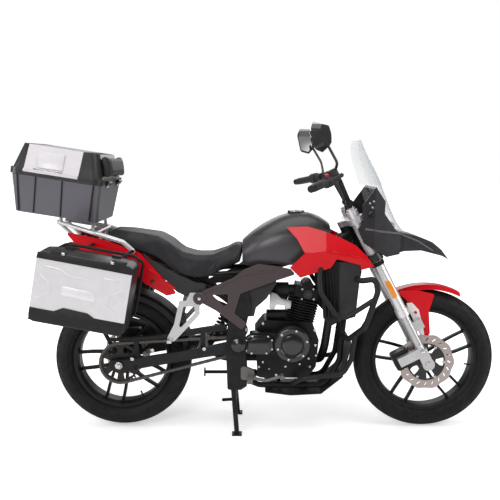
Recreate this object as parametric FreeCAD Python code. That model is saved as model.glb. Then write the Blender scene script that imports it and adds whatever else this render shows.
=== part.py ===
import FreeCAD, Part

import math
import os

from FreeCAD import Vector

# Adventure motorcycle with a top case and two side cases, standing on its centre stand.
# Lengths are in millimetres. X runs forward from the rear axle, Y to the rider's left and
# Z up from the ground. Every piece is moved at the end so that the middle of the whole
# machine's footprint is the origin.

X_AXIS = Vector(1, 0, 0)
Y_AXIS = Vector(0, 1, 0)
Z_AXIS = Vector(0, 0, 1)
FULL_TURN = 360.0
HALF_TURN = 180.0

# Layout
WHEELBASE = 1380.0
FRONT_TYRE_RADIUS = 320.0
REAR_TYRE_RADIUS = 313.0
REAR_WHEEL_LIFT = 9.0
RAKE = 27.5
FORK_OFFSET = 45.0
SEAT_GAP = 0.3
RUNNING_GAP = 0.05
SIDE_PLAY = 1.0
CUT_OVERRUN = 5.0

# Front wheel
FRONT_TYRE_HALF_WIDTH = 50.0
FRONT_SHOULDER_RADIUS = 296.0
FRONT_SHOULDER_HALF_WIDTH = 46.0
FRONT_RIM_INNER_RADIUS = 219.0
FRONT_RIM_BED_RADIUS = 227.0
FRONT_RIM_FLANGE_RADIUS = 238.0
FRONT_RIM_HALF_WIDTH = 36.0
FRONT_HUB_RADIUS = 33.0
FRONT_HUB_HALF_LENGTH = 56.0
FRONT_AXLE_RADIUS = 8.5
FRONT_SPOKE_PHASE = 24.7
FRONT_SPOKE_SPREAD = 10.0
FRONT_SPOKE_WIDTH = 12.0
FRONT_SPOKE_HUB_DEPTH = 22.0
FRONT_SPOKE_RIM_DEPTH = 15.0
FRONT_VALVE_ANGLE = -9.0

# Rear wheel
REAR_TYRE_HALF_WIDTH = 65.0
REAR_SHOULDER_RADIUS = 284.0
REAR_SHOULDER_HALF_WIDTH = 59.0
REAR_RIM_INNER_RADIUS = 201.0
REAR_RIM_BED_RADIUS = 212.0
REAR_RIM_FLANGE_RADIUS = 224.0
REAR_RIM_HALF_WIDTH = 48.0
REAR_HUB_RADIUS = 38.0
REAR_HUB_HALF_LENGTH = 70.0
REAR_AXLE_RADIUS = 8.5
REAR_SPOKE_PHASE = -31.5
REAR_SPOKE_SPREAD = 11.0
REAR_SPOKE_WIDTH = 13.0
REAR_SPOKE_HUB_DEPTH = 26.0
REAR_SPOKE_RIM_DEPTH = 17.0
REAR_VALVE_ANGLE = -66.0

# Shared wheel details
SPOKE_PAIRS = 5
SPOKE_BOW = 5.0
TYRE_WALL = 8.0
RIM_WALL = 4.0
RIM_LIP = 4.0
VALVE_RADIUS = 3.5
VALVE_LENGTH = 26.0

# Brake discs and calipers
FRONT_DISC_RADIUS = 128.0
FRONT_DISC_BAND = 42.0
FRONT_DISC_THICKNESS = 4.0
FRONT_DISC_PLANE = -68.0
FRONT_CARRIER_THICKNESS = 6.0
DISC_WAVE = 3.0
DISC_WAVES = 10
DISC_WAVE_STEPS = 8
DISC_SLOTS = 20
DISC_SLOT_LENGTH = 17.0
DISC_SLOT_WIDTH = 5.0
DISC_SLOT_SLANT = 35.0
CARRIER_WINDOWS = 5
REAR_DISC_RADIUS = 110.0
REAR_DISC_BAND = 34.0
REAR_DISC_PLANE = 82.0
CALIPER_LENGTH = 78.0
CALIPER_HEIGHT = 84.0
CALIPER_INNER = 46.0
CALIPER_OUTER = 93.0
CALIPER_SLOT_GAP = 1.5
CALIPER_BACK = 94.0
CALIPER_RISE = 24.0
REAR_CALIPER_LENGTH = 90.0
REAR_CALIPER_HEIGHT = 52.0
REAR_CALIPER_INNER = 72.0
REAR_CALIPER_RISE = 66.0

# Chain drive, on the rider's right
CHAIN_PITCH = 15.875
REAR_TEETH = 36
FRONT_TEETH = 12
CHAIN_PLANE = -94.0
SPROCKET_THICKNESS = 5.5
CHAIN_HALF_WIDTH = 8.0
CHAIN_PLATE = 1.8
CHAIN_PLATE_HEIGHT = 11.5
SPROCKET_WINDOWS = 6
SPROCKET_HOLE_RADIUS = 24.0
SPROCKET_FLANGE_RADIUS = 44.0
FRONT_SPROCKET_X = 602.0
FRONT_SPROCKET_Z = 418.0

# Fork, measured along the steering axis from the foot of the axle's offset
LEG_SPREAD = 98.0
UPPER_TUBE_RADIUS = 25.0
LOWER_TUBE_RADIUS = 20.0
UPPER_TUBE_FOOT = 249.0
UPPER_TUBE_TOP = 772.0
FORK_CAP_HEIGHT = 12.0
COLLAR_RADIUS = 29.0
COLLAR_HEIGHT = 34.0
FOOT_HALF_LENGTH = 24.0
FOOT_TOP = 74.0
FOOT_DROP = 27.0
LOWER_CLAMP_FOOT = 528.0
LOWER_CLAMP_HEIGHT = 36.0
TOP_CLAMP_FOOT = 716.0
TOP_CLAMP_HEIGHT = 26.0
CLAMP_MARGIN = 11.0
STEM_RADIUS = 13.0
HEAD_TUBE_RADIUS = 27.0
AXLE_END_RADIUS = 14.0
AXLE_END_LENGTH = 9.0

# Handlebar and what sits on it
BAR_RADIUS = 11.0
BAR_BEND = 60.0
BAR_HALF_WIDTH = 400.0
BAR_FORWARD = 57.0
BAR_HEIGHT = 802.0
BAR_SWEEP = 132.0
BAR_RISE = 134.0
BAR_PATH_SHARES = (
    (0.0, 0.0, 0.0), (0.12, 0.0, 0.0), (0.29, 0.0, 0.94), (0.5, -0.12, 1.02), (1.0, -1.0, 1.2)
)
RISER_SPACING = 50.0
RISER_RADIUS = 17.0
RISER_LENGTH = 32.0
GRIP_RADIUS = 16.5
GRIP_LENGTH = 122.0
BAR_WEIGHT_RADIUS = 15.0
BAR_WEIGHT_LENGTH = 26.0
SWITCH_RADIUS = 24.0
SWITCH_LENGTH = 38.0
LEVER_LENGTH = 165.0
LEVER_RADIUS = 6.0
LEVER_REACH = 46.0
RESERVOIR_RADIUS = 21.0
RESERVOIR_HEIGHT = 30.0
MIRROR_HEAD_HEIGHT = 124.0
MIRROR_HEAD_WIDTH = 128.0
MIRROR_HEAD_DEPTH = 32.0
MIRROR_YAW = 33.0
MIRROR_STALK_RADIUS = 5.5
MIRROR_ELBOW_OUT = 84.0
MIRROR_ELBOW_RISE = 56.0
MIRROR_HEAD_OUT = 104.0
MIRROR_HEAD_RISE = 158.0
MIRROR_HEAD_BACK = 60.0

# Front cowl, beak, screen and lamp, carried by the fork
COWL_REAR_BACK = 316.0
COWL_REAR_X = WHEELBASE - COWL_REAR_BACK
COWL_LOW_Z = 800.0
COWL_LENGTH = 183.0
COWL_HEIGHT = 311.0
COWL_WALL = 4.0
COWL_REAR_HALF_WIDTH = 139.0
COWL_FRONT_HALF_WIDTH = 88.0
COWL_SIDE_SHARES = (
    (-0.1, 0.42), (0.03, 0.52), (0.0, 0.74), (0.32, 1.0), (0.56, 0.8), (0.55, 0.63), (0.85, 0.39),
    (1.0, 0.34), (0.96, 0.05), (0.62, 0.02), (0.3, 0.13), (0.06, 0.22),
)
COWL_PLAN_SHARES = ((-0.14, 1.0), (0.3, 1.0), (0.6, 0.62), (1.03, 0.0))
BEAK_REAR_BACK = 175.0
BEAK_REAR_X = WHEELBASE - BEAK_REAR_BACK
BEAK_LOW_Z = 776.0
BEAK_LENGTH = 272.0
BEAK_HEIGHT = 145.0
BEAK_WALL = 4.0
BEAK_REAR_HALF_WIDTH = 96.0
BEAK_TIP_HALF_WIDTH = 22.0
BEAK_SIDE_SHARES = (
    (0.0, 0.98), (0.16, 0.93), (0.4, 0.82), (0.7, 0.6), (0.86, 0.36), (1.0, 0.04), (0.88, 0.16),
    (0.5, 0.36), (0.2, 0.36), (0.0, 0.26),
)
LAMP_HALF_WIDTH = 66.0
LAMP_DEPTH = 74.0
LAMP_HEIGHT = 88.0
LAMP_FRONT_BACK = 154.0
LAMP_FRONT_X = WHEELBASE - LAMP_FRONT_BACK
LAMP_LOW_Z = 862.0
LAMP_LENS = 6.0
STAY_RADIUS = 8.0
SCREEN_LOW_Z = 912.0
SCREEN_HEIGHT = 400.0
SCREEN_WALL = 3.5
SCREEN_LEVELS = (
    (0, 110, 84, 78),
    (0.27, 172, 110, 84),
    (0.6, 228, 128, 70),
    (0.84, 276, 116, 52),
    (1, 304, 74, 26),
)

# Front mudguard
FENDER_RADIUS = 348.0
FENDER_WALL = 3.5
FENDER_HALF_WIDTH = 59.0
FENDER_CROWN_DROP = 14.0
FENDER_FRONT_ANGLE = 64.0
FENDER_REAR_ANGLE = 114.0
FENDER_SIDE_BACK = 142.0
FENDER_SIDE_X = WHEELBASE - FENDER_SIDE_BACK
FENDER_SIDE_Z = 430.0
FENDER_SIDE_LENGTH = 172.0
FENDER_SIDE_HEIGHT = 216.0
FENDER_SIDE_SHARES = (
    (0.0, 0.98), (0.28, 0.79), (0.6, 0.35), (0.78, 0.0), (0.92, 0.08), (0.87, 0.55),
    (1.0, 0.92), (0.6, 1.0),
)
FENDER_BRACKET_FOOT = 158.0
FENDER_BRACKET_HEIGHT = 44.0
FENDER_BRACKET_REACH = 62.0

# Main frame
RAIL_RADIUS = 14.0
RAIL_BEND = 60.0
RAIL_SPREAD = 60.0
RAIL_HEAD_SPREAD = 24.0
RAIL_FRONT_X = 905.0
RAIL_FRONT_Z = 814.0
RAIL_REAR_X = 640.0
RAIL_REAR_Z = 748.0
RAIL_FOOT_X = 545.0
RAIL_FOOT_Z = 640.0
CRADLE_RADIUS = 12.5
CRADLE_SPREAD = 75.0
CRADLE_FRONT_X = 985.0
CRADLE_FRONT_Z = 330.0
CRADLE_NOSE_X = 922.0
CRADLE_LOW_Z = 214.0
CRADLE_REAR_X = 550.0
CRADLE_REAR_Z = 246.0
PLATE_INNER = 129.3
PLATE_WALL = 10.0
PLATE_REAR_X = 475.0
PLATE_LOW_Z = 212.0
PLATE_LENGTH = 112.0
PLATE_HEIGHT = 448.0
PLATE_SIDE_SHARES = (
    (0.3, 1.0), (0.87, 1.0), (1.0, 0.88), (0.78, 0.62), (0.78, 0.36), (0.84, 0.04),
    (0.6, 0.0), (0.06, 0.0), (0.0, 0.46), (0.14, 0.79),
)
PLATE_CORNER = 12.0
CROSS_TUBE_RADIUS = 13.0
RAIL_JOINT_SHARE = 0.62
CRADLE_JOINT_SHARE = 0.42
PIVOT_X = 511.0
PIVOT_Z = 405.0
PIVOT_PIN_RADIUS = 8.5
PIVOT_TUBE_RADIUS = 19.0

# Rear subframe
SUB_RADIUS = 11.0
SUB_BEND = 70.0
SUB_FRONT_X = 606.0
SUB_PATH_SHARES = ((0.0, 0.07), (0.22, 0.0), (0.38, 0.03), (0.62, 0.46), (1.0, 1.0))
SUB_LENGTH = 800.0
SUB_LOW_Z = 727.0
SUB_RISE = 158.0
SUB_OUT = 89.0
SUB_REAR_OUT = 46.0
SUB_CROSS_RADIUS = 9.0
STAY_OUT = 118.0
STAY_LIMIT = 129.0
SUB_LUG_LENGTH = 30.0
SUB_LUG_LOW_Z = 698.0
STAY_FRONT_Z = 560.0
STAY_KNEE_X = 348.0
STAY_KNEE_Z = 642.0
STAY_END_X = 130.0
STAY_END_Z = 778.0

# Engine
CASE_REAR_X = 592.0
CASE_LOW_Z = 246.0
CASE_LENGTH = 300.0
CASE_HEIGHT = 268.0
CASE_HALF_WIDTH = 74.0
CASE_SIDE_SHARES = (
    (0.08, 0.02), (0.16, 0.0), (0.84, 0.0), (0.96, 0.2), (1.0, 0.66), (0.9, 0.96),
    (0.18, 1.0), (0.04, 0.8),
)
CASE_CORNER = 22.0
ENGINE_LUG_SHARES = (0.2, 0.72)
ENGINE_LUG_LENGTH = 32.0
CYLINDER_TILT = 14.0
CYLINDER_X = 800.0
CYLINDER_Z = 492.0
CYLINDER_HALF = 46.0
FIN_COUNT = 9
FIN_PITCH = 12.0
FIN_WALL = 3.5
FIN_HALF_LENGTH = 66.0
FIN_HALF_WIDTH = 64.0
HEAD_HEIGHT = 54.0
HEAD_HALF = 54.0
COVER_RADIUS = 82.0
COVER_X = 768.0
COVER_Z = 420.0
COVER_OUT = 152.0
COVER_BEVEL = 16.0
SPROCKET_COVER_RADIUS = 50.0
SPROCKET_COVER_OUT = 124.0
COVER_WALL = 5.0
STARTER_RADIUS = 26.0
STARTER_LENGTH = 90.0

# Air box and carburettor, behind the cylinder
AIR_BOX_REAR_X = 548.0
AIR_BOX_LOW_Z = 530.0
AIR_BOX_LENGTH = 152.0
AIR_BOX_HEIGHT = 200.0
AIR_BOX_HALF_WIDTH = 122.0
AIR_BOX_SHARES = (
    (0.0, 0.06), (0.34, 0.06), (0.4, 0.26), (0.7, 0.46), (0.95, 0.76), (1.0, 0.92), (0.9, 1.0),
    (0.1, 1.0), (0.0, 0.56),
)
AIR_BOX_CORNER = 10.0
INTAKE_RADIUS = 24.0
INTAKE_Z = 640.0
INTAKE_OVERLAP = 40.0
CARB_RADIUS = 34.0
CARB_LENGTH = 58.0
CARB_BOWL_DROP = 46.0

# Exhaust, on the rider's left
PIPE_RADIUS = 19.0
PIPE_BEND = 70.0
PIPE_DOWN_X = 938.0
PIPE_DOWN_Z = 457.0
PIPE_KNEE_X = 926.0
PIPE_KNEE_Z = 372.0
PIPE_CROSS_X = 912.0
PIPE_CROSS_Y = 60.0
PIPE_SIDE_X = 866.0
PIPE_SIDE_Y = 108.0
PIPE_SIDE_Z = 290.0
PIPE_REAR_X = 455.0
MUFFLER_HALF_WIDTH = 35.0
MUFFLER_HALF_HEIGHT = 46.0
MUFFLER_Y = 181.0
MUFFLER_FRONT_X = 330.0
MUFFLER_FRONT_Z = 336.0
MUFFLER_REAR_X = -128.0
MUFFLER_REAR_Z = 452.0
MUFFLER_OUTLET_RADIUS = 20.0

# Tank, shrouds and side panels
TANK_REAR_X = 548.0
TANK_LENGTH = 388.0
TANK_LOW_Z = 762.0
TANK_HEIGHT = 230.0
TANK_HALF_WIDTH = 148.0
TANK_SECTION_SHARES = (
    (0.0, 0.06, 0.46, 0.66), (0.12, 0.02, 0.64, 0.86), (0.3, 0.06, 0.84, 0.98),
    (0.52, 0.05, 0.99, 1.0), (0.78, 0.08, 1.0, 0.9), (1.0, 0.2, 0.8, 0.66),
)
TANK_CAP_RADIUS = 38.0
TANK_CAP_SHARE = 0.62
TANK_CAP_HEIGHT = 8.0
SHROUD_REAR_X = 739.0
SHROUD_LOW_Z = 722.0
SHROUD_LENGTH = 372.0
SHROUD_HEIGHT = 222.0
SHROUD_WALL = 4.0
SHROUD_REAR_OUT = 162.0
SHROUD_FRONT_OUT = 204.0
SHROUD_SIDE_SHARES = (
    (0.0, 0.98), (0.24, 1.0), (0.42, 0.92), (0.61, 0.8), (0.79, 0.65), (0.91, 0.45), (1.0, 0.25),
    (0.85, 0.18), (0.84, 0.28), (0.57, 0.39), (0.51, 0.22), (0.16, 0.0), (0.04, 0.2),
    (0.21, 0.49), (0.12, 0.76),
)
SHROUD_STATION_SHARES = ((-0.02, 0.0, 0.52), (0.45, 0.7, 0.5), (0.84, 1.0, 0.4), (1.02, 0.92, 0.32))
SHROUD_LEAN = 26.0
SHROUD_TUCK = 12.0
SIDE_PANEL_REAR_X = 884.0
SIDE_PANEL_LOW_Z = 508.0
SIDE_PANEL_LENGTH = 172.0
SIDE_PANEL_HEIGHT = 282.0
SIDE_PANEL_WALL = 4.0
SIDE_PANEL_OUT = 172.0
SIDE_PANEL_DEPTH = 24.0
SIDE_PANEL_SHARES = (
    (0.0, 0.94), (0.4, 1.0), (1.0, 1.0), (1.0, 0.7), (0.92, 0.14), (0.56, 0.1), (0.3, 0.0), (0.1, 0.12),
)
SIDE_PANEL_POST_SHARES = (0.28, 0.62)

# Seat and rear bodywork
SEAT_REAR_X = -50.0
SEAT_PASSENGER_HALF_WIDTH = 132.0
SEAT_LOW_Z = 700.0
SEAT_HEIGHT = 224.0
SEAT_SECTION_SHARES = (
    (0.0, 0.86, 1.0, 0.72), (0.16, 0.66, 0.96, 0.98), (0.38, 0.42, 0.87, 1.0),
    (0.47, 0.22, 0.74, 1.0), (0.56, 0.1, 0.55, 0.98), (0.66, 0.04, 0.48, 0.94),
    (0.78, 0.08, 0.48, 0.84), (0.9, 0.26, 0.6, 0.78), (1.0, 0.38, 0.76, 0.74),
)
SEAT_EDGE_SHARE = 0.22
SEAT_EDGE_DROP = 16.0
SIDE_COVER_REAR_X = 100.0
SIDE_COVER_LOW_Z = 610.0
SIDE_COVER_LENGTH = 290.0
SIDE_COVER_HEIGHT = 235.0
SIDE_COVER_WALL = 3.5
SIDE_COVER_SHARES = (
    (0.0, 1.0), (0.18, 0.8), (0.61, 0.5), (0.84, 0.37), (1.0, 0.34), (0.98, 0.2),
    (0.88, 0.0), (0.56, 0.19), (0.14, 0.76),
)
FRAME_COVER_REAR_X = 352.0
FRAME_COVER_LOW_Z = 489.0
FRAME_COVER_LENGTH = 428.0
FRAME_COVER_HEIGHT = 292.0
FRAME_COVER_WALL = 7.0
FRAME_COVER_SHARES = (
    (0.03, 0.42), (0.0, 0.52), (0.07, 0.6), (0.36, 0.78), (0.47, 0.91), (0.62, 1.0), (0.82, 0.96),
    (0.95, 0.92), (1.0, 0.84), (0.79, 0.74), (0.44, 0.55), (0.38, 0.25), (0.51, 0.09), (0.45, 0.0),
    (0.19, 0.29),
)
FRAME_COVER_WINDOW_SHARES = ((0.15, 0.53), (0.31, 0.54), (0.31, 0.38), (0.27, 0.36))
TAIL_REAR_X = -235.0
TAIL_LOW_Z = 637.0
TAIL_LENGTH = 497.0
TAIL_HEIGHT = 275.0
TAIL_WALL = 3.5
TAIL_FRONT_OUT = 136.0
TAIL_REAR_OUT = 66.0
TAIL_SHARES = (
    (0.0, 1.0), (0.37, 0.89), (0.65, 0.72), (0.69, 0.68), (1.0, 0.04), (0.91, 0.0),
    (0.72, 0.2), (0.59, 0.45), (0.16, 0.67),
)
TAIL_STATION_SHARES = ((-0.02, 0.0), (0.3, 0.55), (0.66, 1.0), (1.02, 1.0))
TAIL_BULGE = 6.0
MUDGUARD_HALF_WIDTH = 78.0
MUDGUARD_POST_SHARE = 0.4
MUDGUARD_SHARES = (
    (0.0, 1.0), (0.34, 0.86), (0.62, 0.72), (0.98, 0.62), (0.98, 0.56), (0.6, 0.64),
    (0.34, 0.74), (0.18, 0.72), (0.02, 0.1), (0.0, 0.0), (-0.02, 0.1), (0.08, 0.84),
)
MUDGUARD_REAR_X = -225.0
MUDGUARD_LOW_Z = 590.0
MUDGUARD_LENGTH = 420.0
MUDGUARD_HEIGHT = 262.0
TAIL_LAMP_HALF_WIDTH = 58.0
TAIL_LAMP_DEPTH = 24.0
TAIL_LAMP_HEIGHT = 34.0
INDICATOR_REACH = 72.0
INDICATOR_RADIUS = 14.0
INDICATOR_STALK_RADIUS = 5.0

# Luggage
RACK_RADIUS = 10.0
RACK_BEND = 45.0
RACK_PLATE = 8.0
RACK_FRONT_X = 78.0
RACK_FRONT_Z = 838.0
RACK_SHOULDER_X = 36.0
RACK_SHOULDER_Z = 876.0
RACK_MIDDLE_X = -80.0
RACK_MIDDLE_Z = 914.0
RACK_REAR_X = -266.0
RACK_REAR_Z = 956.0
RACK_FRONT_OUT = 148.0
RACK_PLATE_HALF_WIDTH = 118.0
RACK_PLATE_SHARES = (0.22, 0.94)
RACK_POST_SHARES = (0.48, 0.92)
RACK_POST_RADIUS = 8.0
RACK_REAR_OUT = 62.0
TOP_CASE_TILT = 8.8
TOP_CASE_X = -417.0
TOP_CASE_Z = 1016.0
TOP_CASE_FLOOR_LENGTH = 353.0
TOP_CASE_FLOOR_HALF_WIDTH = 185.0
TOP_CASE_RIM_REAR = 22.0
TOP_CASE_RIM_LENGTH = 382.0
TOP_CASE_RIM_HALF_WIDTH = 222.0
TOP_CASE_TUB_HEIGHT = 172.0
TOP_CASE_LID_HEIGHT = 114.0
TOP_CASE_TOP_REAR = 4.0
TOP_CASE_TOP_LENGTH = 322.0
TOP_CASE_TOP_HALF_WIDTH = 176.0
TOP_CASE_CORNER = 38.0
TOP_CASE_RIM_BAND = 12.0
TOP_CASE_RIM_OVERHANG = 5.0
CASE_WALL = 4.0
LID_GAP = 0.8
PAD_HALF_WIDTH = 166.0
PAD_THICKNESS = 34.0
PAD_LOW_SHARE = 0.14
PAD_HIGH_SHARE = 0.93
PANNIER_TILT = 10.5
PANNIER_X = -74.0
PANNIER_Z = 714.0
PANNIER_LENGTH = 380.0
PANNIER_HEIGHT = 286.0
PANNIER_INNER_Y = 249.0
PANNIER_SEAM_Y = 352.0
PANNIER_OUTER_Y = 468.0
PANNIER_CORNER = 30.0
PANNIER_INNER_SHRINK = 12.0
PANNIER_OUTER_SHRINK = 20.0
PANNIER_RIM_BAND = 10.0
HINGE_PIN_RADIUS = 2.5
HINGE_BARREL_RADIUS = 5.5
HINGE_LENGTH = 44.0
HINGE_LUG = 8.0
HINGE_OUT = 8.0
LATCH_WIDTH = 34.0
LATCH_HEIGHT = 42.0
LATCH_DEPTH = 9.0
HOOK_RADIUS = 9.0
HOOK_HEIGHT = 42.0
HOOK_SHARE = 0.3
PANNIER_RAIL_RADIUS = 6.5
PANNIER_RAIL_Y = 231.0
PANNIER_RAIL_BEND = 40.0
PANNIER_RAIL_SHARES = (
    (0.5, 0.42), (0.38, 0.5), (-0.36, 0.5), (-0.48, 0.38), (-0.48, -0.36), (-0.36, -0.48),
    (0.4, -0.48), (0.5, -0.36),
)

# Swingarm and what it carries
ARM_INNER = 107.0
ARM_WALL = 20.0
ARM_AXLE_HALF_HEIGHT = 24.0
ARM_PIVOT_HALF_HEIGHT = 27.0
ARM_REAR_REACH = 46.0
ARM_BEAM_X = 372.0
ARM_BEAM_Z = 378.0
ARM_BEAM_LENGTH = 44.0
ARM_BEAM_HEIGHT = 44.0
AXLE_NUT_RADIUS = 15.0
AXLE_NUT_LENGTH = 12.0
AXLE_SPACER_RADIUS = 14.0
BOBBIN_RADIUS = 9.0
BOBBIN_HOLE_RADIUS = 4.0
BOBBIN_DEPTH = 14.0
BOBBIN_X = 74.0
BOBBIN_DROP = 12.0
GUARD_REAR_X = -50.0
GUARD_LOW_Z = 424.0
GUARD_LENGTH = 521.0
GUARD_HEIGHT = 78.0
GUARD_WALL = 3.0
GUARD_INNER = 83.0
GUARD_OUTER = 110.0
GUARD_SHARES = ((0.0, 0.12), (0.36, 0.3), (1.0, 1.0), (1.0, 0.64), (0.4, 0.12), (0.0, 0.0))
HUGGER_GAP = 9.0
HUGGER_WALL = 3.0
HUGGER_HALF_WIDTH = 76.0
HUGGER_LIP = 30.0
HUGGER_FRONT_ANGLE = 14.0
HUGGER_REAR_ANGLE = 84.0
SHOCK_TOP_X = 516.0
SHOCK_TOP_Z = 606.0
SHOCK_FOOT_X = 424.0
SHOCK_FOOT_Z = 420.0
SHOCK_BODY_RADIUS = 20.0
SPRING_RADIUS = 31.0
SPRING_WIRE_RADIUS = 5.0
SPRING_TURNS = 7
SPRING_LENGTH = 120.0

# Guards, pegs and stands
BAR_GUARD_RADIUS = 12.5
BAR_GUARD_BEND = 45.0
BAR_GUARD_UPPER = Vector(1052.0, 205.0, 716.0)
BAR_GUARD_LOWER = Vector(1021.0, 120.0, 440.0)
BAR_GUARD_PATH = [BAR_GUARD_UPPER, Vector(1112.0, 236.0, 731.0), Vector(1120.0, 242.0, 676.0),
                  Vector(1074.0, 222.0, 520.0), BAR_GUARD_LOWER]
BAR_GUARD_BRACE = [Vector(1104.0, 237.0, 640.0), Vector(966.0, 224.0, 545.0), Vector(880.0, 228.0, 670.0),
                   Vector(874.0, 216.0, 742.0), Vector(896.0, 150.0, 778.0), Vector(905.0, 66.0, 812.0)]
BAR_GUARD_FOOT = [Vector(1040.0, 168.0, 470.0), Vector(1026.0, 158.0, 356.0), Vector(992.0, 152.0, 290.0),
                  Vector(812.0, 150.0, 268.0), Vector(768.0, 92.0, 222.0)]
BASH_REAR_X = 650.0
BASH_LOW_Z = 176.0
BASH_LENGTH = 382.0
BASH_HEIGHT = 250.0
BASH_HALF_WIDTH = 112.0
BASH_WALL = 4.0
BASH_SHARES = ((0.0, 0.06), (0.3, 0.0), (0.66, 0.03), (0.91, 0.34), (1.0, 0.88), (1.0, 1.0))
BASH_POST_SHARES = (0.13, 0.6)
BASH_POST_RADIUS = 8.0
BASH_TOP_Z = 384.0
PEG_X = 582.0
PEG_Z = 279.0
PEG_PLATE_WALL = 8.0
PEG_RADIUS = 12.0
PEG_LENGTH = 82.0
PEDAL_LENGTH = 140.0
HANGER_REAR_X = 212.0
HANGER_LOW_Z = 430.0
HANGER_LENGTH = 150.0
HANGER_HEIGHT = 222.0
HANGER_INNER = 133.1
HANGER_WALL = 6.0
HANGER_SHARES = (
    (0.72, 1.0), (0.92, 1.0), (1.0, 0.76), (1.0, 0.56), (0.26, 0.03), (0.12, 0.0), (0.03, 0.08),
    (0.24, 0.36), (0.4, 0.84), (0.6, 0.84),
)
HANGER_WINDOW_SHARES = ((0.84, 0.72), (0.86, 0.6), (0.36, 0.24), (0.52, 0.72))
PASSENGER_PEG_LENGTH = 66.0
STAND_PIVOT_X = 505.0
STAND_PIVOT_Z = 236.0
STAND_FOOT_FORWARD = 18.0
STAND_FOOT_OUT = 128.0
STAND_FOOT_LENGTH = 44.0
STAND_FOOT_WIDTH = 40.0
STAND_FOOT_THICKNESS = 7.0
STAND_TUBE_RADIUS = 11.0
STAND_PIN_RADIUS = 9.0
STAND_BOSS_RADIUS = 17.0
STAND_BOSS_INNER = 95.0
STAND_BOSS_OUTER = 126.0
SIDE_STAND_X = 602.0
SIDE_STAND_Y = 160.0
SIDE_STAND_Z = 198.0
SIDE_STAND_LENGTH = 238.0
SIDE_STAND_RADIUS = 10.0
SIDE_STAND_TILT = 45.0
SIDE_STAND_FOOT = 22.0

REAR_AXLE = Vector(0, 0, REAR_TYRE_RADIUS + REAR_WHEEL_LIFT)
FRONT_AXLE = Vector(WHEELBASE, 0, FRONT_TYRE_RADIUS)
RAKE_SINE = math.sin(math.radians(RAKE))
RAKE_COSINE = math.cos(math.radians(RAKE))
STEERING_FOOT = FRONT_AXLE - Vector(RAKE_COSINE, 0, RAKE_SINE) * FORK_OFFSET
PLATE_OUTER = PLATE_INNER + PLATE_WALL


def place(shares, x, z, length, height):
    """Points of a side outline, given as shares of its length and height."""
    return [Vector(x + along * length, 0, z + up * height) for along, up in shares]


def rounded_edges(points, radius, closed):
    """Straight edges through the points, each corner rounded within its two runs."""
    count = len(points)
    corners = range(count) if closed else range(1, count - 1)
    ends = {index: (points[index], points[index]) for index in range(count)}
    arcs = {}
    for index in corners:
        corner = points[index]
        back = points[index - 1] - corner
        ahead = points[(index + 1) % count] - corner
        half = back.getAngle(ahead) / 2
        reach = min(radius / math.tan(half), 0.45 * back.Length, 0.45 * ahead.Length)
        if reach * math.cos(half) < 0.001 * radius:
            continue
        back.normalize()
        ahead.normalize()
        middle = (back + ahead).normalize()
        depth = reach / math.cos(half) - reach * math.tan(half)
        ends[index] = (corner + back * reach, corner + ahead * reach)
        arcs[index] = Part.Arc(ends[index][0], corner + middle * depth, ends[index][1])
    edges = []
    for index in range(count if closed else count - 1):
        follower = (index + 1) % count
        edges.append(Part.LineSegment(ends[index][1], ends[follower][0]).toShape())
        if follower in arcs:
            edges.append(arcs[follower].toShape())
    return edges


def outline_face(points, radius):
    """A flat face inside a closed outline with rounded corners."""
    if radius:
        return Part.Face(Part.Wire(rounded_edges(points, radius, True)))
    return Part.Face(Part.makePolygon(points + points[:1]))


def slab(points, y_from, y_to, radius=0):
    """A side outline given thickness between two Y planes."""
    face = outline_face([Vector(point.x, y_from, point.z) for point in points], radius)
    return face.extrude(Vector(0, y_to - y_from, 0))


def box(x_from, x_to, y_from, y_to, z_from, z_to):
    return Part.makeBox(x_to - x_from, y_to - y_from, z_to - z_from, Vector(x_from, y_from, z_from))


def rod(start, end, radius):
    return Part.makeCylinder(radius, (end - start).Length, start, end - start)


def cross_rod(x, z, y_from, y_to, radius):
    """A round bar across the machine."""
    return Part.makeCylinder(radius, y_to - y_from, Vector(x, y_from, z), Y_AXIS)


def tube(points, radius, bend):
    """A round tube along straight runs joined by arcs."""
    path = Part.Wire(rounded_edges(points, bend, False))
    ring = Part.Wire(Part.makeCircle(radius, points[0], points[1] - points[0]))
    return path.makePipeShell([ring], True, False)


def turned(points):
    """A solid of revolution about Y from (radius, y) points."""
    corners = [Vector(radius, y, 0) for radius, y in points]
    face = Part.Face(Part.makePolygon(corners + corners[:1]))
    return face.revolve(Vector(), Y_AXIS, FULL_TURN)


def mirrored(shape):
    return shape.mirror(Vector(), Y_AXIS)


def both_sides(shape):
    return Part.makeCompound([shape, mirrored(shape)])


def moved(shape, offset):
    copy = shape.copy()
    copy.translate(offset)
    return copy


def spun(shape, angle, centre=Vector(), axis=Y_AXIS):
    copy = shape.copy()
    copy.rotate(centre, axis, angle)
    return copy


def joined(shapes):
    """One solid from pieces that are one casting, weldment or moulding."""
    return shapes[0].fuse(shapes[1:]).removeSplitter()


def largest(shape, count=1):
    """The biggest solids of a shape, without the crumbs that a cut leaves."""
    solids = sorted(shape.Solids, key=lambda solid: solid.Volume)[-count:]
    return solids[0] if count == 1 else Part.makeCompound(solids)


def folded(points, wall):
    """The outline of a sheet bent along the points, its wall to the left of the run."""
    inner = []
    for index, point in enumerate(points):
        runs = []
        if index:
            runs.append(point - points[index - 1])
        if index + 1 < len(points):
            runs.append(points[index + 1] - point)
        normal = Vector()
        for run in runs:
            normal += Vector(-run.z, 0, run.x) / (run.Length * len(runs))
        inner.append(point + normal * (wall / normal.Length ** 2))
    return points + list(reversed(inner))


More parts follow.
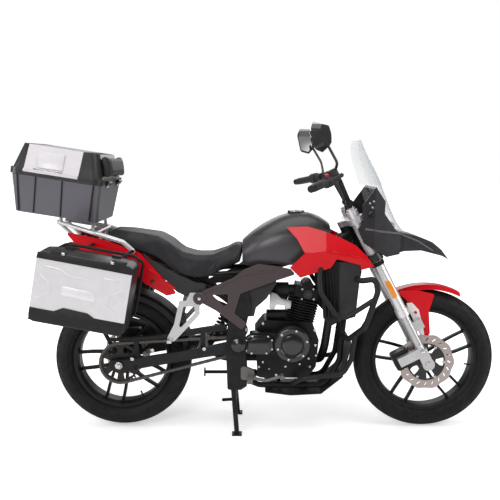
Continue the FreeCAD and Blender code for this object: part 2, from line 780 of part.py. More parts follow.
def ring_tube(points, radius, bend):
    """A round tube in a closed loop, from two halves that meet in straight runs."""
    half = len(points) // 2
    first = (points[0] + points[1]) / 2
    second = (points[half] + points[half + 1]) / 2
    front = tube([first] + points[1:half + 1] + [second], radius, bend)
    back = tube([second] + points[half + 1:] + [points[0], first], radius, bend)
    return joined([front, back])


def plan_prism(stations, z_from, z_to, trim=0):
    """An upright prism whose half width is given at each X station."""
    left = [Vector(x, half - trim, z_from) for x, half in stations]
    right = [Vector(x, trim - half, z_from) for x, half in reversed(stations)]
    face = Part.Face(Part.makePolygon(left + right + left[:1]))
    return face.extrude(Vector(0, 0, z_to - z_from))


def trough(side, stations, z_from, z_to, wall, shift):
    """A moulded cover: a side outline narrowed in plan and open towards the shift."""
    outer = slab(side, -BAR_HALF_WIDTH, BAR_HALF_WIDTH).common(plan_prism(stations, z_from, z_to))
    inner = slab([point + shift for point in side], -BAR_HALF_WIDTH, BAR_HALF_WIDTH)
    inner = inner.common(plan_prism(stations, z_from - wall * 9, z_to, wall))
    return outer.cut(inner)


def skin(stations, wall):
    """A ruled sheet through rows of (x, (y, z) points), thickened towards the middle."""
    wires = []
    for x, row in stations:
        outer = [Vector(x, y, z) for y, z in row]
        inner = [Vector(x, y - wall, z) for y, z in reversed(row)]
        wires.append(Part.makePolygon(outer + inner + outer[:1]))
    return Part.makeLoft(wires, True, True)


def steered(shape):
    """Moves a piece from steering axes (forward, left, up the axis) to the machine."""
    return moved(spun(shape, -RAKE), STEERING_FOOT)


def steering_point(forward, left, up):
    x = forward * RAKE_COSINE - up * RAKE_SINE
    z = forward * RAKE_SINE + up * RAKE_COSINE
    return STEERING_FOOT + Vector(x, left, z)


def rim_ring(inner, bed, flange, half_width):
    """A tubeless rim: a waisted well between two flanges."""
    waist = half_width / 2
    return turned(
        [
            (inner, -waist), (bed - RIM_WALL, -half_width), (flange, -half_width),
            (flange, RIM_LIP - half_width), (bed, RIM_LIP * 2 - half_width),
            (inner + RIM_WALL, -waist + RIM_WALL), (inner + RIM_WALL, waist - RIM_WALL),
            (bed, half_width - RIM_LIP * 2), (flange, half_width - RIM_LIP), (flange, half_width),
            (bed - RIM_WALL, half_width), (inner, waist)
        ]
    )


def tyre(crown, shoulder_radius, shoulder, half_width, bed, flange, rim_half_width):
    """A hollow tyre with a round crown and bulged walls, its beads inside the flanges."""
    def section(trim):
        bead = Vector(bed + SEAT_GAP, rim_half_width - RIM_LIP * 2 - SEAT_GAP - trim, 0)
        lip = Vector(flange + SEAT_GAP, rim_half_width - RIM_LIP - SEAT_GAP - trim, 0)
        bulge = Vector((shoulder_radius + flange) / 2, half_width - trim, 0)
        corner = Vector(shoulder_radius - trim / 2, shoulder - trim, 0)
        top = Vector(crown - trim, 0, 0)
        left = [Vector(point.x, -point.y, 0) for point in (bead, lip, bulge, corner)]
        edges = [
            Part.LineSegment(bead, lip),
            Part.Arc(lip, bulge, corner),
            Part.Arc(corner, top, left[3]),
            Part.Arc(left[3], left[2], left[1]),
            Part.LineSegment(left[1], left[0]),
            Part.LineSegment(left[0], bead),
        ]
        return Part.Face(Part.Wire([edge.toShape() for edge in edges]))
    outer = section(0).revolve(Vector(), Y_AXIS, FULL_TURN)
    inner = section(TYRE_WALL).revolve(Vector(), Y_AXIS, FULL_TURN)
    return outer.cut(inner)


def spoke(hub_radius, rim_radius, spread, width, hub_depth, rim_depth, bow):
    """One slightly bowed blade, beside the pair's middle line, which lies along X."""
    reach = rim_radius * math.sin(math.radians(spread))
    foot = hub_radius * math.sin(math.radians(3.4 * spread))
    x_from = hub_radius * 0.7
    x_to = rim_radius + RIM_WALL / 2
    rows = []
    for share, z, half_depth in (
        (0, foot, hub_depth / 2), (0.5, (foot + reach) / 2 + bow, (hub_depth + rim_depth) / 4),
        (1, reach, rim_depth / 2)
    ):
        x = x_from + share * (x_to - x_from)
        corners = [
            Vector(x, y, z + lift) for y,
            lift in (
                (-half_depth, -width / 2), (half_depth, -width / 2), (half_depth, width / 2),
                (-half_depth, width / 2)
            )
        ]
        rows.append(Part.makePolygon(corners + corners[:1]))
    return Part.makeLoft(rows, True, False)


def cast_wheel(
    ring, hub, bore, hub_radius, rim_radius, phase, spread, width, hub_depth, rim_depth, valve_angle
):
    """Rim, hub and five pairs of spokes as one casting."""
    blade = spoke(hub_radius, rim_radius, spread, width, hub_depth, rim_depth, SPOKE_BOW)
    flipped = blade.mirror(Vector(), Z_AXIS)
    pieces = [ring, hub]
    for pair in range(SPOKE_PAIRS):
        angle = -(phase + pair * FULL_TURN / SPOKE_PAIRS)
        pieces += [spun(blade, angle), spun(flipped, angle)]
    valve = Part.makeCylinder(
        VALVE_RADIUS, VALVE_LENGTH, Vector(rim_radius - VALVE_LENGTH + RIM_WALL, 0, 0), X_AXIS
    )
    pieces.append(spun(valve, -valve_angle))
    return joined(pieces).cut(bore)


def disc(radius, band, thickness, plane):
    """A brake disc with a wavy edge and slanted slots."""
    steps = DISC_WAVES * DISC_WAVE_STEPS
    rim = []
    for step in range(steps):
        angle = 2 * math.pi * step / steps
        reach = radius - DISC_WAVE + DISC_WAVE * math.cos(DISC_WAVES * angle)
        rim.append(Vector(reach * math.cos(angle), plane - thickness / 2, reach * math.sin(angle)))
    plate = slab(rim, plane - thickness / 2, plane + thickness / 2)
    plate = plate.cut(cross_rod(0, 0, plane - thickness, plane + thickness, radius - band))
    slot = box(-DISC_SLOT_LENGTH / 2, DISC_SLOT_LENGTH / 2, plane - thickness, plane + thickness,
               -DISC_SLOT_WIDTH / 2, DISC_SLOT_WIDTH / 2)
    slot = moved(spun(slot, DISC_SLOT_SLANT), Vector(radius - DISC_WAVE - band / 2, 0, 0))
    return plate.cut([spun(slot, FULL_TURN * index / DISC_SLOTS) for index in range(DISC_SLOTS)])


def disc_carrier(outer, inner, plane, windows):
    """The dark spider that holds a disc to its hub."""
    low, high = plane - FRONT_CARRIER_THICKNESS / 2, plane + FRONT_CARRIER_THICKNESS / 2
    plate = cross_rod(0, 0, low, high, outer).cut(cross_rod(0, 0, low, high, inner))
    width = math.pi * (outer + inner) / windows / 2
    middle = (outer + inner) / 2
    window = slab(
        [
            Vector(inner + (middle - inner) * 0.7, 0, -width * 0.34),
            Vector(outer - (outer - middle) * 0.35, 0, -width * 0.6),
            Vector(outer - (outer - middle) * 0.35, 0, width * 0.6),
            Vector(inner + (middle - inner) * 0.7, 0, width * 0.34)
        ], low, high, 5 * RIM_WALL / 4
    )
    return plate.cut([spun(window, FULL_TURN * index / windows) for index in range(windows)])


def front_wheel():
    ring = rim_ring(
        FRONT_RIM_INNER_RADIUS, FRONT_RIM_BED_RADIUS, FRONT_RIM_FLANGE_RADIUS, FRONT_RIM_HALF_WIDTH
    )
    hub = cross_rod(0, 0, -FRONT_HUB_HALF_LENGTH, FRONT_HUB_HALF_LENGTH, FRONT_HUB_RADIUS)
    bore = cross_rod(0, 0, FRONT_DISC_PLANE, -FRONT_DISC_PLANE, FRONT_AXLE_RADIUS + RUNNING_GAP)
    rim = cast_wheel(ring, hub, bore, FRONT_HUB_RADIUS, FRONT_RIM_INNER_RADIUS, FRONT_SPOKE_PHASE,
                     FRONT_SPOKE_SPREAD, FRONT_SPOKE_WIDTH, FRONT_SPOKE_HUB_DEPTH, FRONT_SPOKE_RIM_DEPTH,
                     FRONT_VALVE_ANGLE)
    rubber = tyre(
        FRONT_TYRE_RADIUS, FRONT_SHOULDER_RADIUS, FRONT_SHOULDER_HALF_WIDTH, FRONT_TYRE_HALF_WIDTH,
        FRONT_RIM_BED_RADIUS, FRONT_RIM_FLANGE_RADIUS, FRONT_RIM_HALF_WIDTH
    )
    outer = FRONT_DISC_RADIUS - FRONT_DISC_BAND
    face = FRONT_DISC_PLANE + FRONT_CARRIER_THICKNESS / 2
    seat = cross_rod(0, 0, face, -FRONT_HUB_HALF_LENGTH + CUT_OVERRUN, FRONT_HUB_RADIUS + CUT_OVERRUN)
    carrier = disc_carrier(
        outer + FRONT_CARRIER_THICKNESS, FRONT_AXLE_RADIUS * 2, FRONT_DISC_PLANE, CARRIER_WINDOWS
    )
    friction_ring = disc(FRONT_DISC_RADIUS, FRONT_DISC_BAND, FRONT_DISC_THICKNESS, FRONT_DISC_PLANE)
    brake = joined([friction_ring, carrier])
    rim = joined([rim, seat.cut(bore)])
    return {
        "front_rim": moved(rim, FRONT_AXLE),
        "front_tyre": moved(rubber, FRONT_AXLE),
        "front_disc": moved(brake, FRONT_AXLE),
    }


def pitch_radius(teeth):
    return CHAIN_PITCH / (2 * math.sin(math.pi / teeth))


def sprocket(teeth, thickness):
    """A toothed wheel in the XZ plane, with a roller seat on the X axis."""
    pitch = pitch_radius(teeth)
    step = 2 * math.pi / teeth
    points = []
    for tooth in range(teeth):
        for share, rise in ((-0.2, -0.36), (0.2, -0.36), (0.42, 0.3), (0.58, 0.3)):
            angle = (tooth + share) * step
            reach = pitch + rise * CHAIN_PITCH
            points.append(Vector(reach * math.cos(angle), 0, reach * math.sin(angle)))
    return slab(points, -thickness / 2, thickness / 2)


def rear_wheel():
    ring = rim_ring(
        REAR_RIM_INNER_RADIUS, REAR_RIM_BED_RADIUS, REAR_RIM_FLANGE_RADIUS, REAR_RIM_HALF_WIDTH
    )
    sprocket_face = CHAIN_PLANE + SPROCKET_THICKNESS / 2
    hub = joined([
        cross_rod(0, 0, sprocket_face, REAR_HUB_HALF_LENGTH, REAR_HUB_RADIUS),
        cross_rod(0, 0, sprocket_face, sprocket_face + CASE_CORNER, SPROCKET_FLANGE_RADIUS),
    ])
    bore = cross_rod(0, 0, sprocket_face - CUT_OVERRUN, REAR_HUB_HALF_LENGTH + CUT_OVERRUN,
                     REAR_AXLE_RADIUS + RUNNING_GAP)
    rim = cast_wheel(ring, hub, bore, REAR_HUB_RADIUS, REAR_RIM_INNER_RADIUS, REAR_SPOKE_PHASE,
                     REAR_SPOKE_SPREAD, REAR_SPOKE_WIDTH, REAR_SPOKE_HUB_DEPTH, REAR_SPOKE_RIM_DEPTH,
                     REAR_VALVE_ANGLE)
    rubber = tyre(REAR_TYRE_RADIUS, REAR_SHOULDER_RADIUS, REAR_SHOULDER_HALF_WIDTH, REAR_TYRE_HALF_WIDTH,
                  REAR_RIM_BED_RADIUS, REAR_RIM_FLANGE_RADIUS, REAR_RIM_HALF_WIDTH)
    toothed = moved(sprocket(REAR_TEETH, SPROCKET_THICKNESS), Vector(0, CHAIN_PLANE, 0))
    low, high = CHAIN_PLANE - SPROCKET_THICKNESS, CHAIN_PLANE + SPROCKET_THICKNESS
    outer = pitch_radius(REAR_TEETH) - CHAIN_PITCH
    inner = SPROCKET_FLANGE_RADIUS + RIM_WALL
    width = math.pi * inner / SPROCKET_WINDOWS
    window = slab([
        Vector(inner, 0, -width * 0.55), Vector(outer, 0, -width * 0.95), Vector(outer, 0, width * 0.95),
        Vector(inner, 0, width * 0.55),
    ], low, high, RIM_WALL)
    cuts = [spun(window, FULL_TURN * index / SPROCKET_WINDOWS) for index in range(SPROCKET_WINDOWS)]
    cuts.append(cross_rod(0, 0, low, high, SPROCKET_HOLE_RADIUS))
    toothed = toothed.cut(cuts)
    carrier_inner = REAR_HUB_HALF_LENGTH
    band_face = REAR_DISC_PLANE + FRONT_CARRIER_THICKNESS / 2
    carrier = disc_carrier(
        REAR_DISC_RADIUS - REAR_DISC_BAND + FRONT_CARRIER_THICKNESS, AXLE_SPACER_RADIUS * 2,
        REAR_DISC_PLANE, CARRIER_WINDOWS
    )
    boss = cross_rod(
        0, 0, carrier_inner - CUT_OVERRUN, band_face - FRONT_CARRIER_THICKNESS, REAR_HUB_RADIUS
    )
    brake = joined(
        [disc(REAR_DISC_RADIUS, REAR_DISC_BAND, FRONT_DISC_THICKNESS, REAR_DISC_PLANE), carrier]
    )
    rim = joined([rim, boss.cut(cross_rod(0, 0, 0, band_face, REAR_AXLE_RADIUS + RUNNING_GAP))])
    return {
        "rear_rim": moved(rim, REAR_AXLE),
        "rear_tyre": moved(rubber, REAR_AXLE),
        "rear_sprocket": moved(toothed, REAR_AXLE),
        "rear_disc": moved(brake, REAR_AXLE),
    }


def fork_leg(foot, top, radius):
    """A leg tube on the left side in steering axes."""
    return rod(Vector(FORK_OFFSET, LEG_SPREAD, foot), Vector(FORK_OFFSET, LEG_SPREAD, top), radius)


def clamp_plate(foot, height, stem_radius):
    """One bridge between the two fork legs, waisted between leg and stem."""
    eye = UPPER_TUBE_RADIUS + CLAMP_MARGIN
    leg_eye = Part.makeCylinder(eye, height, Vector(FORK_OFFSET, LEG_SPREAD, foot), Z_AXIS)
    stem_eye = Part.makeCylinder(HEAD_TUBE_RADIUS, height, Vector(0, 0, foot), Z_AXIS)
    front = FORK_OFFSET + UPPER_TUBE_RADIUS
    bridge = [
        Vector(-stem_radius, 0, foot), Vector(-stem_radius, stem_radius, foot),
        Vector(FORK_OFFSET - UPPER_TUBE_RADIUS, LEG_SPREAD, foot), Vector(front, LEG_SPREAD, foot),
        Vector(front - CLAMP_MARGIN, 0, foot),
    ]
    half = Part.Face(Part.makePolygon(bridge + bridge[:1])).extrude(Vector(0, 0, height))
    plate = joined([stem_eye, leg_eye, mirrored(leg_eye), half, mirrored(half)])
    bore = fork_leg(foot - CUT_OVERRUN, foot + height + CUT_OVERRUN, UPPER_TUBE_RADIUS + SEAT_GAP)
    return plate.cut([bore, mirrored(bore)])


def fork():
    stem = Part.makeCylinder(
        STEM_RADIUS, TOP_CLAMP_FOOT - LOWER_CLAMP_FOOT, Vector(0, 0, LOWER_CLAMP_FOOT), Z_AXIS
    )
    lower = clamp_plate(LOWER_CLAMP_FOOT, LOWER_CLAMP_HEIGHT, STEM_RADIUS)
    top = clamp_plate(TOP_CLAMP_FOOT, TOP_CLAMP_HEIGHT, STEM_RADIUS)
    clamps = joined([lower, stem, top])

    upper = fork_leg(UPPER_TUBE_FOOT, UPPER_TUBE_TOP, UPPER_TUBE_RADIUS)
    collar = fork_leg(UPPER_TUBE_FOOT, UPPER_TUBE_FOOT + COLLAR_HEIGHT, COLLAR_RADIUS)
    cap = fork_leg(UPPER_TUBE_TOP, UPPER_TUBE_TOP + FORK_CAP_HEIGHT, LOWER_TUBE_RADIUS)
    leg = joined([upper, collar, cap])

    slider = fork_leg(0, UPPER_TUBE_FOOT, LOWER_TUBE_RADIUS)
    inner = LEG_SPREAD - LOWER_TUBE_RADIUS
    outer = LEG_SPREAD + LOWER_TUBE_RADIUS
    foot = box(FORK_OFFSET - FOOT_HALF_LENGTH, FORK_OFFSET + FOOT_HALF_LENGTH, inner, outer, 0, FOOT_TOP)
    toe = cross_rod(FORK_OFFSET, 0, inner, outer, FOOT_DROP)
    bracket = box(
        FORK_OFFSET, FORK_OFFSET + FENDER_BRACKET_REACH, FENDER_HALF_WIDTH + SEAT_GAP, LEG_SPREAD,
        FENDER_BRACKET_FOOT, FENDER_BRACKET_FOOT + FENDER_BRACKET_HEIGHT
    )
    end = cross_rod(FORK_OFFSET, 0, outer, outer + AXLE_END_LENGTH, AXLE_END_RADIUS)
    side = joined([slider, foot, toe, bracket, end])
    lug = box(
        FORK_OFFSET - CALIPER_BACK - CALIPER_LENGTH / 4, FORK_OFFSET, -outer, -CALIPER_OUTER - SEAT_GAP,
        CALIPER_RISE + CALIPER_HEIGHT / 4, CALIPER_RISE + CALIPER_HEIGHT * 3 / 4
    )
    axle = cross_rod(FORK_OFFSET, 0, -inner, inner, FRONT_AXLE_RADIUS)
    spacer = cross_rod(FORK_OFFSET, 0, FRONT_HUB_HALF_LENGTH + SIDE_PLAY, inner, AXLE_END_RADIUS)
    right_spacer = cross_rod(
        FORK_OFFSET, 0, -inner, FRONT_DISC_PLANE - FRONT_CARRIER_THICKNESS, AXLE_END_RADIUS
    )
    lowers = joined([side, mirrored(side), lug, axle, spacer, right_spacer])
    return {
        "triple_clamps": steered(clamps),
        "fork_uppers": steered(both_sides(leg)),
        "fork_lowers": steered(lowers),
    }


def front_caliper():
    """The brake block astride the front disc, behind the right leg."""
    x_from = FORK_OFFSET - CALIPER_BACK - CALIPER_LENGTH / 2
    block = slab([
        Vector(x_from, 0, CALIPER_RISE), Vector(x_from + CALIPER_LENGTH, 0, CALIPER_RISE),
        Vector(x_from + CALIPER_LENGTH, 0, CALIPER_RISE + CALIPER_HEIGHT),
        Vector(x_from, 0, CALIPER_RISE + CALIPER_HEIGHT),
    ], -CALIPER_OUTER, -CALIPER_INNER, CALIPER_LENGTH / 6)
    gap = FRONT_CARRIER_THICKNESS / 2 + CALIPER_SLOT_GAP
    slot = cross_rod(FORK_OFFSET, 0, FRONT_DISC_PLANE - gap, FRONT_DISC_PLANE + gap,
                     FRONT_DISC_RADIUS + CUT_OVERRUN)
    return {"front_caliper": steered(block.cut(slot))}


def bar_points(side):
    """The handlebar's bends on one side, from the middle out, in steering axes."""
    points = []
    for out, forward, rise in BAR_PATH_SHARES:
        points.append(
            Vector(
                BAR_FORWARD + forward * BAR_SWEEP, side * out * BAR_HALF_WIDTH,
                BAR_HEIGHT + rise * BAR_RISE
            )
        )
    return points


def handlebar():
    left = bar_points(1)
    right = bar_points(-1)
    bar = tube(list(reversed(right)) + left[1:], BAR_RADIUS, BAR_BEND)
    clamp_top = TOP_CLAMP_FOOT + TOP_CLAMP_HEIGHT
    riser_x = FORK_OFFSET - CLAMP_MARGIN / 2
    risers = []
    for side in (1, -1):
        y = side * RISER_SPACING
        foot = Vector(riser_x, y, clamp_top)
        risers.append(rod(foot, Vector(BAR_FORWARD, y, BAR_HEIGHT), RISER_RADIUS - CLAMP_MARGIN / 2))
        risers.append(
            cross_rod(BAR_FORWARD, BAR_HEIGHT, y - RISER_LENGTH / 2, y + RISER_LENGTH / 2, RISER_RADIUS)
        )
    below = box(-BAR_HALF_WIDTH, BAR_HALF_WIDTH, -BAR_HALF_WIDTH, BAR_HALF_WIDTH, 0, clamp_top)
    pieces = [bar.cut(below)] + [riser.cut(below) for riser in risers]
    for points in (left, right):
        run = (points[-1] - points[-2]).normalize()
        pieces.append(rod(points[-1], points[-1] + run * BAR_WEIGHT_LENGTH, BAR_WEIGHT_RADIUS))
    return {"handlebar": steered(joined(pieces))}


def hand_controls():
    """Grip, switch housing and lever each side, with the brake reservoir on the right."""
    solids = []
    for side in (1, -1):
        points = bar_points(side)
        end = points[-1]
        run = (points[-2] - end).normalize()
        inner_end = end + run * GRIP_LENGTH
        grip = rod(end, inner_end, GRIP_RADIUS)
        switch = rod(inner_end, inner_end + run * SWITCH_LENGTH, SWITCH_RADIUS)
        perch = inner_end + run * (SWITCH_LENGTH * 1.5)
        perch_body = rod(
            inner_end + run * SWITCH_LENGTH, perch + run * SWITCH_LENGTH / 2,
            SWITCH_RADIUS - CLAMP_MARGIN / 2
        )
        knuckle = perch + Vector(LEVER_REACH, 0, 0)
        arm = rod(perch, knuckle, LEVER_RADIUS * 1.5)
        lever = tube([knuckle, knuckle - run * LEVER_LENGTH / 2, end + Vector(LEVER_REACH * 0.8, 0, 0)],
                     LEVER_RADIUS, BAR_BEND)
        ball = Part.makeSphere(LEVER_RADIUS * 1.5, knuckle)
        pieces = [grip, switch, perch_body, arm, ball, lever]
        if side < 0:
            cup_foot = perch + Vector(RESERVOIR_RADIUS * 0.9, 0, SWITCH_RADIUS * 0.4)
            pieces.append(Part.makeCylinder(RESERVOIR_RADIUS, RESERVOIR_HEIGHT, cup_foot, Z_AXIS))
        bore = rod(end - run * CUT_OVERRUN, perch + run * SWITCH_LENGTH, BAR_RADIUS + SEAT_GAP)
        weight = rod(end - run * BAR_WEIGHT_LENGTH, end, BAR_WEIGHT_RADIUS + SEAT_GAP)
        solids.append(joined(pieces).cut([bore, weight]))
    return {"hand_controls": steered(Part.makeCompound(solids))}


def mirrors():
    """Two mirrors on angled stalks, each rising from the inner end of a switch housing."""
    solids = []
    for side in (1, -1):
        points = bar_points(side)
        run = (points[-2] - points[-1]).normalize()
        perch = points[-1] + run * (GRIP_LENGTH + SWITCH_LENGTH * 2.3)
        base = steering_point(perch.x, perch.y, perch.z) + Vector(0, 0, BAR_RADIUS + SEAT_GAP)
        elbow = base + Vector(0, side * MIRROR_ELBOW_OUT, MIRROR_ELBOW_RISE)
        head = base + Vector(-MIRROR_HEAD_BACK, side * MIRROR_HEAD_OUT, MIRROR_HEAD_RISE)
        stalk = tube([base, base + Vector(0, side * CLAMP_MARGIN, MIRROR_ELBOW_RISE / 3), elbow, head],
                     MIRROR_STALK_RADIUS, MIRROR_ELBOW_RISE / 2)
        corners = []
        for along, up in (
            (-0.5, 0.1), (-0.36, 0.46), (0.3, 0.5), (0.5, 0.24), (0.4, -0.4), (-0.1, -0.5),
            (-0.42, -0.3)
        ):
            corners.append(Vector(0, side * along * MIRROR_HEAD_WIDTH, up * MIRROR_HEAD_HEIGHT))
        front = [point * 0.72 + Vector(MIRROR_HEAD_DEPTH, 0, 0) for point in corners]
        shell = Part.makeLoft([
            Part.Wire(rounded_edges(corners, MIRROR_HEAD_DEPTH / 2, True)),
            Part.Wire(rounded_edges(front, MIRROR_HEAD_DEPTH / 2, True)),
        ], True, True)
        shell = spun(spun(shell, -RAKE / 3), side * MIRROR_YAW, Vector(), Z_AXIS)
        shell = moved(shell, head - Vector(MIRROR_HEAD_DEPTH / 2, 0, 0))
        solids.append(joined([stalk, shell]))
    return {"mirrors": Part.makeCompound(solids)}


def cowl_stations(rear_half, front_half, x, length, plan):
    return [(x + along * length, front_half + share * (rear_half - front_half)) for along, share in plan]


def front_cowl():
    """The dark cowl around lamp and instruments, and the stays that hold it to the fork."""
    side = place(COWL_SIDE_SHARES, COWL_REAR_X, COWL_LOW_Z, COWL_LENGTH, COWL_HEIGHT)
    stations = cowl_stations(
        COWL_REAR_HALF_WIDTH, COWL_FRONT_HALF_WIDTH, COWL_REAR_X, COWL_LENGTH, COWL_PLAN_SHARES
    )
    shell = trough(
        side, stations, COWL_LOW_Z - COWL_WALL, COWL_LOW_Z + COWL_HEIGHT + COWL_WALL, COWL_WALL,
        Vector(-COWL_WALL * 2, 0, -COWL_WALL * 2)
    )
    opening = box(LAMP_FRONT_X - LAMP_DEPTH, COWL_REAR_X + COWL_LENGTH + COWL_WALL,
                  -LAMP_HALF_WIDTH - COWL_WALL, LAMP_HALF_WIDTH + COWL_WALL,
                  LAMP_LOW_Z - COWL_WALL, LAMP_LOW_Z + LAMP_HEIGHT + COWL_WALL)
    shell = shell.cut(opening)
    return largest(shell)


def cowl_stays():
    """Tubes from the fork clamps forward to the inside of the cowl."""
    clamp_front = FORK_OFFSET + UPPER_TUBE_RADIUS - CLAMP_MARGIN
    stays = []
    for side in (1, -1):
        y = side * COWL_FRONT_HALF_WIDTH * 0.6
        for level in (TOP_CLAMP_FOOT + TOP_CLAMP_HEIGHT / 2, LOWER_CLAMP_FOOT + LOWER_CLAMP_HEIGHT / 2):
            stays.append((steering_point(clamp_front, y, level), y))
    reach = COWL_REAR_X + COWL_LENGTH * 0.5
    pieces = []
    for start, y in stays:
        pieces.append(rod(start, Vector(reach, y, LAMP_LOW_Z + LAMP_HEIGHT / 2), STAY_RADIUS))
    width = COWL_FRONT_HALF_WIDTH
    pieces.append(cross_rod(reach, LAMP_LOW_Z + LAMP_HEIGHT / 2, -width * 2, width * 2, STAY_RADIUS))
    return joined(pieces)


def beak():
    side = place(BEAK_SIDE_SHARES, BEAK_REAR_X, BEAK_LOW_Z, BEAK_LENGTH, BEAK_HEIGHT)
    stations = [
        (BEAK_REAR_X - BEAK_WALL, BEAK_REAR_HALF_WIDTH),
        (BEAK_REAR_X + BEAK_LENGTH * 0.2, BEAK_REAR_HALF_WIDTH * 0.94),
        (BEAK_REAR_X + BEAK_LENGTH * 0.75, BEAK_REAR_HALF_WIDTH * 0.5),
        (BEAK_REAR_X + BEAK_LENGTH + BEAK_WALL, BEAK_TIP_HALF_WIDTH)
    ]
    shell = trough(
        side, stations, BEAK_LOW_Z - BEAK_WALL, BEAK_LOW_Z + BEAK_HEIGHT + BEAK_WALL, BEAK_WALL,
        Vector(-BEAK_WALL, 0, -BEAK_WALL * 2)
    )
    return largest(shell)


def headlamp():
    """A lamp body with a raised lens, in the mouth of the cowl."""
    body = box(LAMP_FRONT_X - LAMP_DEPTH, LAMP_FRONT_X - LAMP_LENS, -LAMP_HALF_WIDTH, LAMP_HALF_WIDTH,
               LAMP_LOW_Z, LAMP_LOW_Z + LAMP_HEIGHT)
    low, high = LAMP_LOW_Z + LAMP_LENS, LAMP_LOW_Z + LAMP_HEIGHT - LAMP_LENS
    lens = slab([Vector(LAMP_FRONT_X - LAMP_LENS, 0, low), Vector(LAMP_FRONT_X, 0, low + LAMP_LENS),
                 Vector(LAMP_FRONT_X - LAMP_LENS, 0, high)],
                LAMP_LENS - LAMP_HALF_WIDTH, LAMP_HALF_WIDTH - LAMP_LENS)
    return joined([body, lens])


def windscreen():
    """A curved clear screen, lofted through five bowed levels."""
    wires = []
    for level, behind, half_width, back in SCREEN_LEVELS:
        front_x = WHEELBASE - behind
        z = SCREEN_LOW_Z + level * SCREEN_HEIGHT
        outer = Part.Arc(Vector(front_x - back, half_width, z), Vector(front_x, 0, z),
                         Vector(front_x - back, -half_width, z)).toShape()
        inner_x = front_x - SCREEN_WALL
        inner = Part.Arc(Vector(inner_x - back, -half_width + SCREEN_WALL / 2, z), Vector(inner_x, 0, z),
                         Vector(inner_x - back, half_width - SCREEN_WALL / 2, z)).toShape()
        ends = [
            Part.LineSegment(Vector(front_x - back, -half_width, z),
                             Vector(inner_x - back, -half_width + SCREEN_WALL / 2, z)).toShape(),
            Part.LineSegment(Vector(inner_x - back, half_width - SCREEN_WALL / 2, z),
                             Vector(front_x - back, half_width, z)).toShape(),
        ]
        wires.append(Part.Wire([outer, ends[0], inner, ends[1]]))
    return Part.makeLoft(wires, True, False)


def front_end():
    """Cowl, beak, lamp and screen, each cut clear of the one that carries it."""
    cowl = front_cowl()
    nose = beak()
    lamp = headlamp()
    screen = windscreen()
    stays = largest(cowl_stays().cut([steered_clamps_space(), lamp]))
    outer_side = place(COWL_SIDE_SHARES, COWL_REAR_X, COWL_LOW_Z, COWL_LENGTH, COWL_HEIGHT)
    stations = cowl_stations(
        COWL_REAR_HALF_WIDTH, COWL_FRONT_HALF_WIDTH, COWL_REAR_X, COWL_LENGTH, COWL_PLAN_SHARES
    )
    inside = plan_prism(
        stations, COWL_LOW_Z - COWL_WALL, COWL_LOW_Z + COWL_HEIGHT * 2, COWL_WALL + SEAT_GAP
    )
    stays = stays.common(inside)
    cowl = largest(cowl.cut([stays, steered_clamps_space()]))
    nose = nose.cut([slab(outer_side, -BAR_HALF_WIDTH, BAR_HALF_WIDTH), lamp, stays])
    screen = screen.cut([cowl, nose, lamp, stays])
    return {
        "front_cowl": cowl,
        "cowl_stays": largest(stays),
        "beak": largest(nose),
        "headlamp": lamp,
        "windscreen": largest(screen),
    }


def steered_clamps_space():
    """What the clamps and fork tubes fill, for pieces that are fastened to them."""
    eye = UPPER_TUBE_RADIUS + CLAMP_MARGIN
    blocks = []
    for foot, height in ((LOWER_CLAMP_FOOT, LOWER_CLAMP_HEIGHT), (TOP_CLAMP_FOOT, TOP_CLAMP_HEIGHT)):
        blocks.append(
            box(
                -eye, FORK_OFFSET + UPPER_TUBE_RADIUS + SEAT_GAP, -LEG_SPREAD - eye, LEG_SPREAD + eye,
                foot, foot + height
            )
        )
    leg = fork_leg(0, UPPER_TUBE_TOP, UPPER_TUBE_RADIUS + SEAT_GAP)
    return steered(joined(blocks + [leg, mirrored(leg)]))


def front_fender():
    """A crown over the tyre with side plates down to the brackets on the fork legs."""
    inner = FENDER_RADIUS - FENDER_WALL
    edge = FENDER_HALF_WIDTH
    profile = [
        (inner - FENDER_CROWN_DROP, -edge), (inner, -edge / 2), (inner, edge / 2),
        (inner - FENDER_CROWN_DROP, edge), (FENDER_RADIUS - FENDER_CROWN_DROP, edge),
        (FENDER_RADIUS, edge / 2), (FENDER_RADIUS, -edge / 2),
        (FENDER_RADIUS - FENDER_CROWN_DROP, -edge)
    ]
    corners = [Vector(radius, y, 0) for radius, y in profile]
    face = Part.Face(Part.makePolygon(corners + corners[:1]))
    crown = face.revolve(Vector(), Y_AXIS, -(FENDER_REAR_ANGLE - FENDER_FRONT_ANGLE))
    crown = moved(spun(crown, -FENDER_FRONT_ANGLE), FRONT_AXLE)
    side = place(FENDER_SIDE_SHARES, FENDER_SIDE_X, FENDER_SIDE_Z, FENDER_SIDE_LENGTH, FENDER_SIDE_HEIGHT)
    plate = slab(side, edge - FENDER_WALL, edge, FENDER_CROWN_DROP / 2)
    rim = moved(cross_rod(0, 0, 0, edge * 2, FENDER_RADIUS - FENDER_CROWN_DROP / 2), FRONT_AXLE)
    plate = plate.common(rim)
    return {"front_fender": joined([crown, plate, mirrored(plate)])}


def rail_points(side):
    head = steering_point(0, side * RAIL_HEAD_SPREAD, LOWER_CLAMP_FOOT + LOWER_CLAMP_HEIGHT
                          + (TOP_CLAMP_FOOT - LOWER_CLAMP_FOOT) * RAIL_JOINT_SHARE)
    return [
        head, Vector(RAIL_FRONT_X, side * RAIL_SPREAD, RAIL_FRONT_Z),
        Vector(RAIL_REAR_X, side * RAIL_SPREAD, RAIL_REAR_Z),
        Vector(RAIL_FOOT_X, side * RAIL_SPREAD, RAIL_FOOT_Z)
    ]


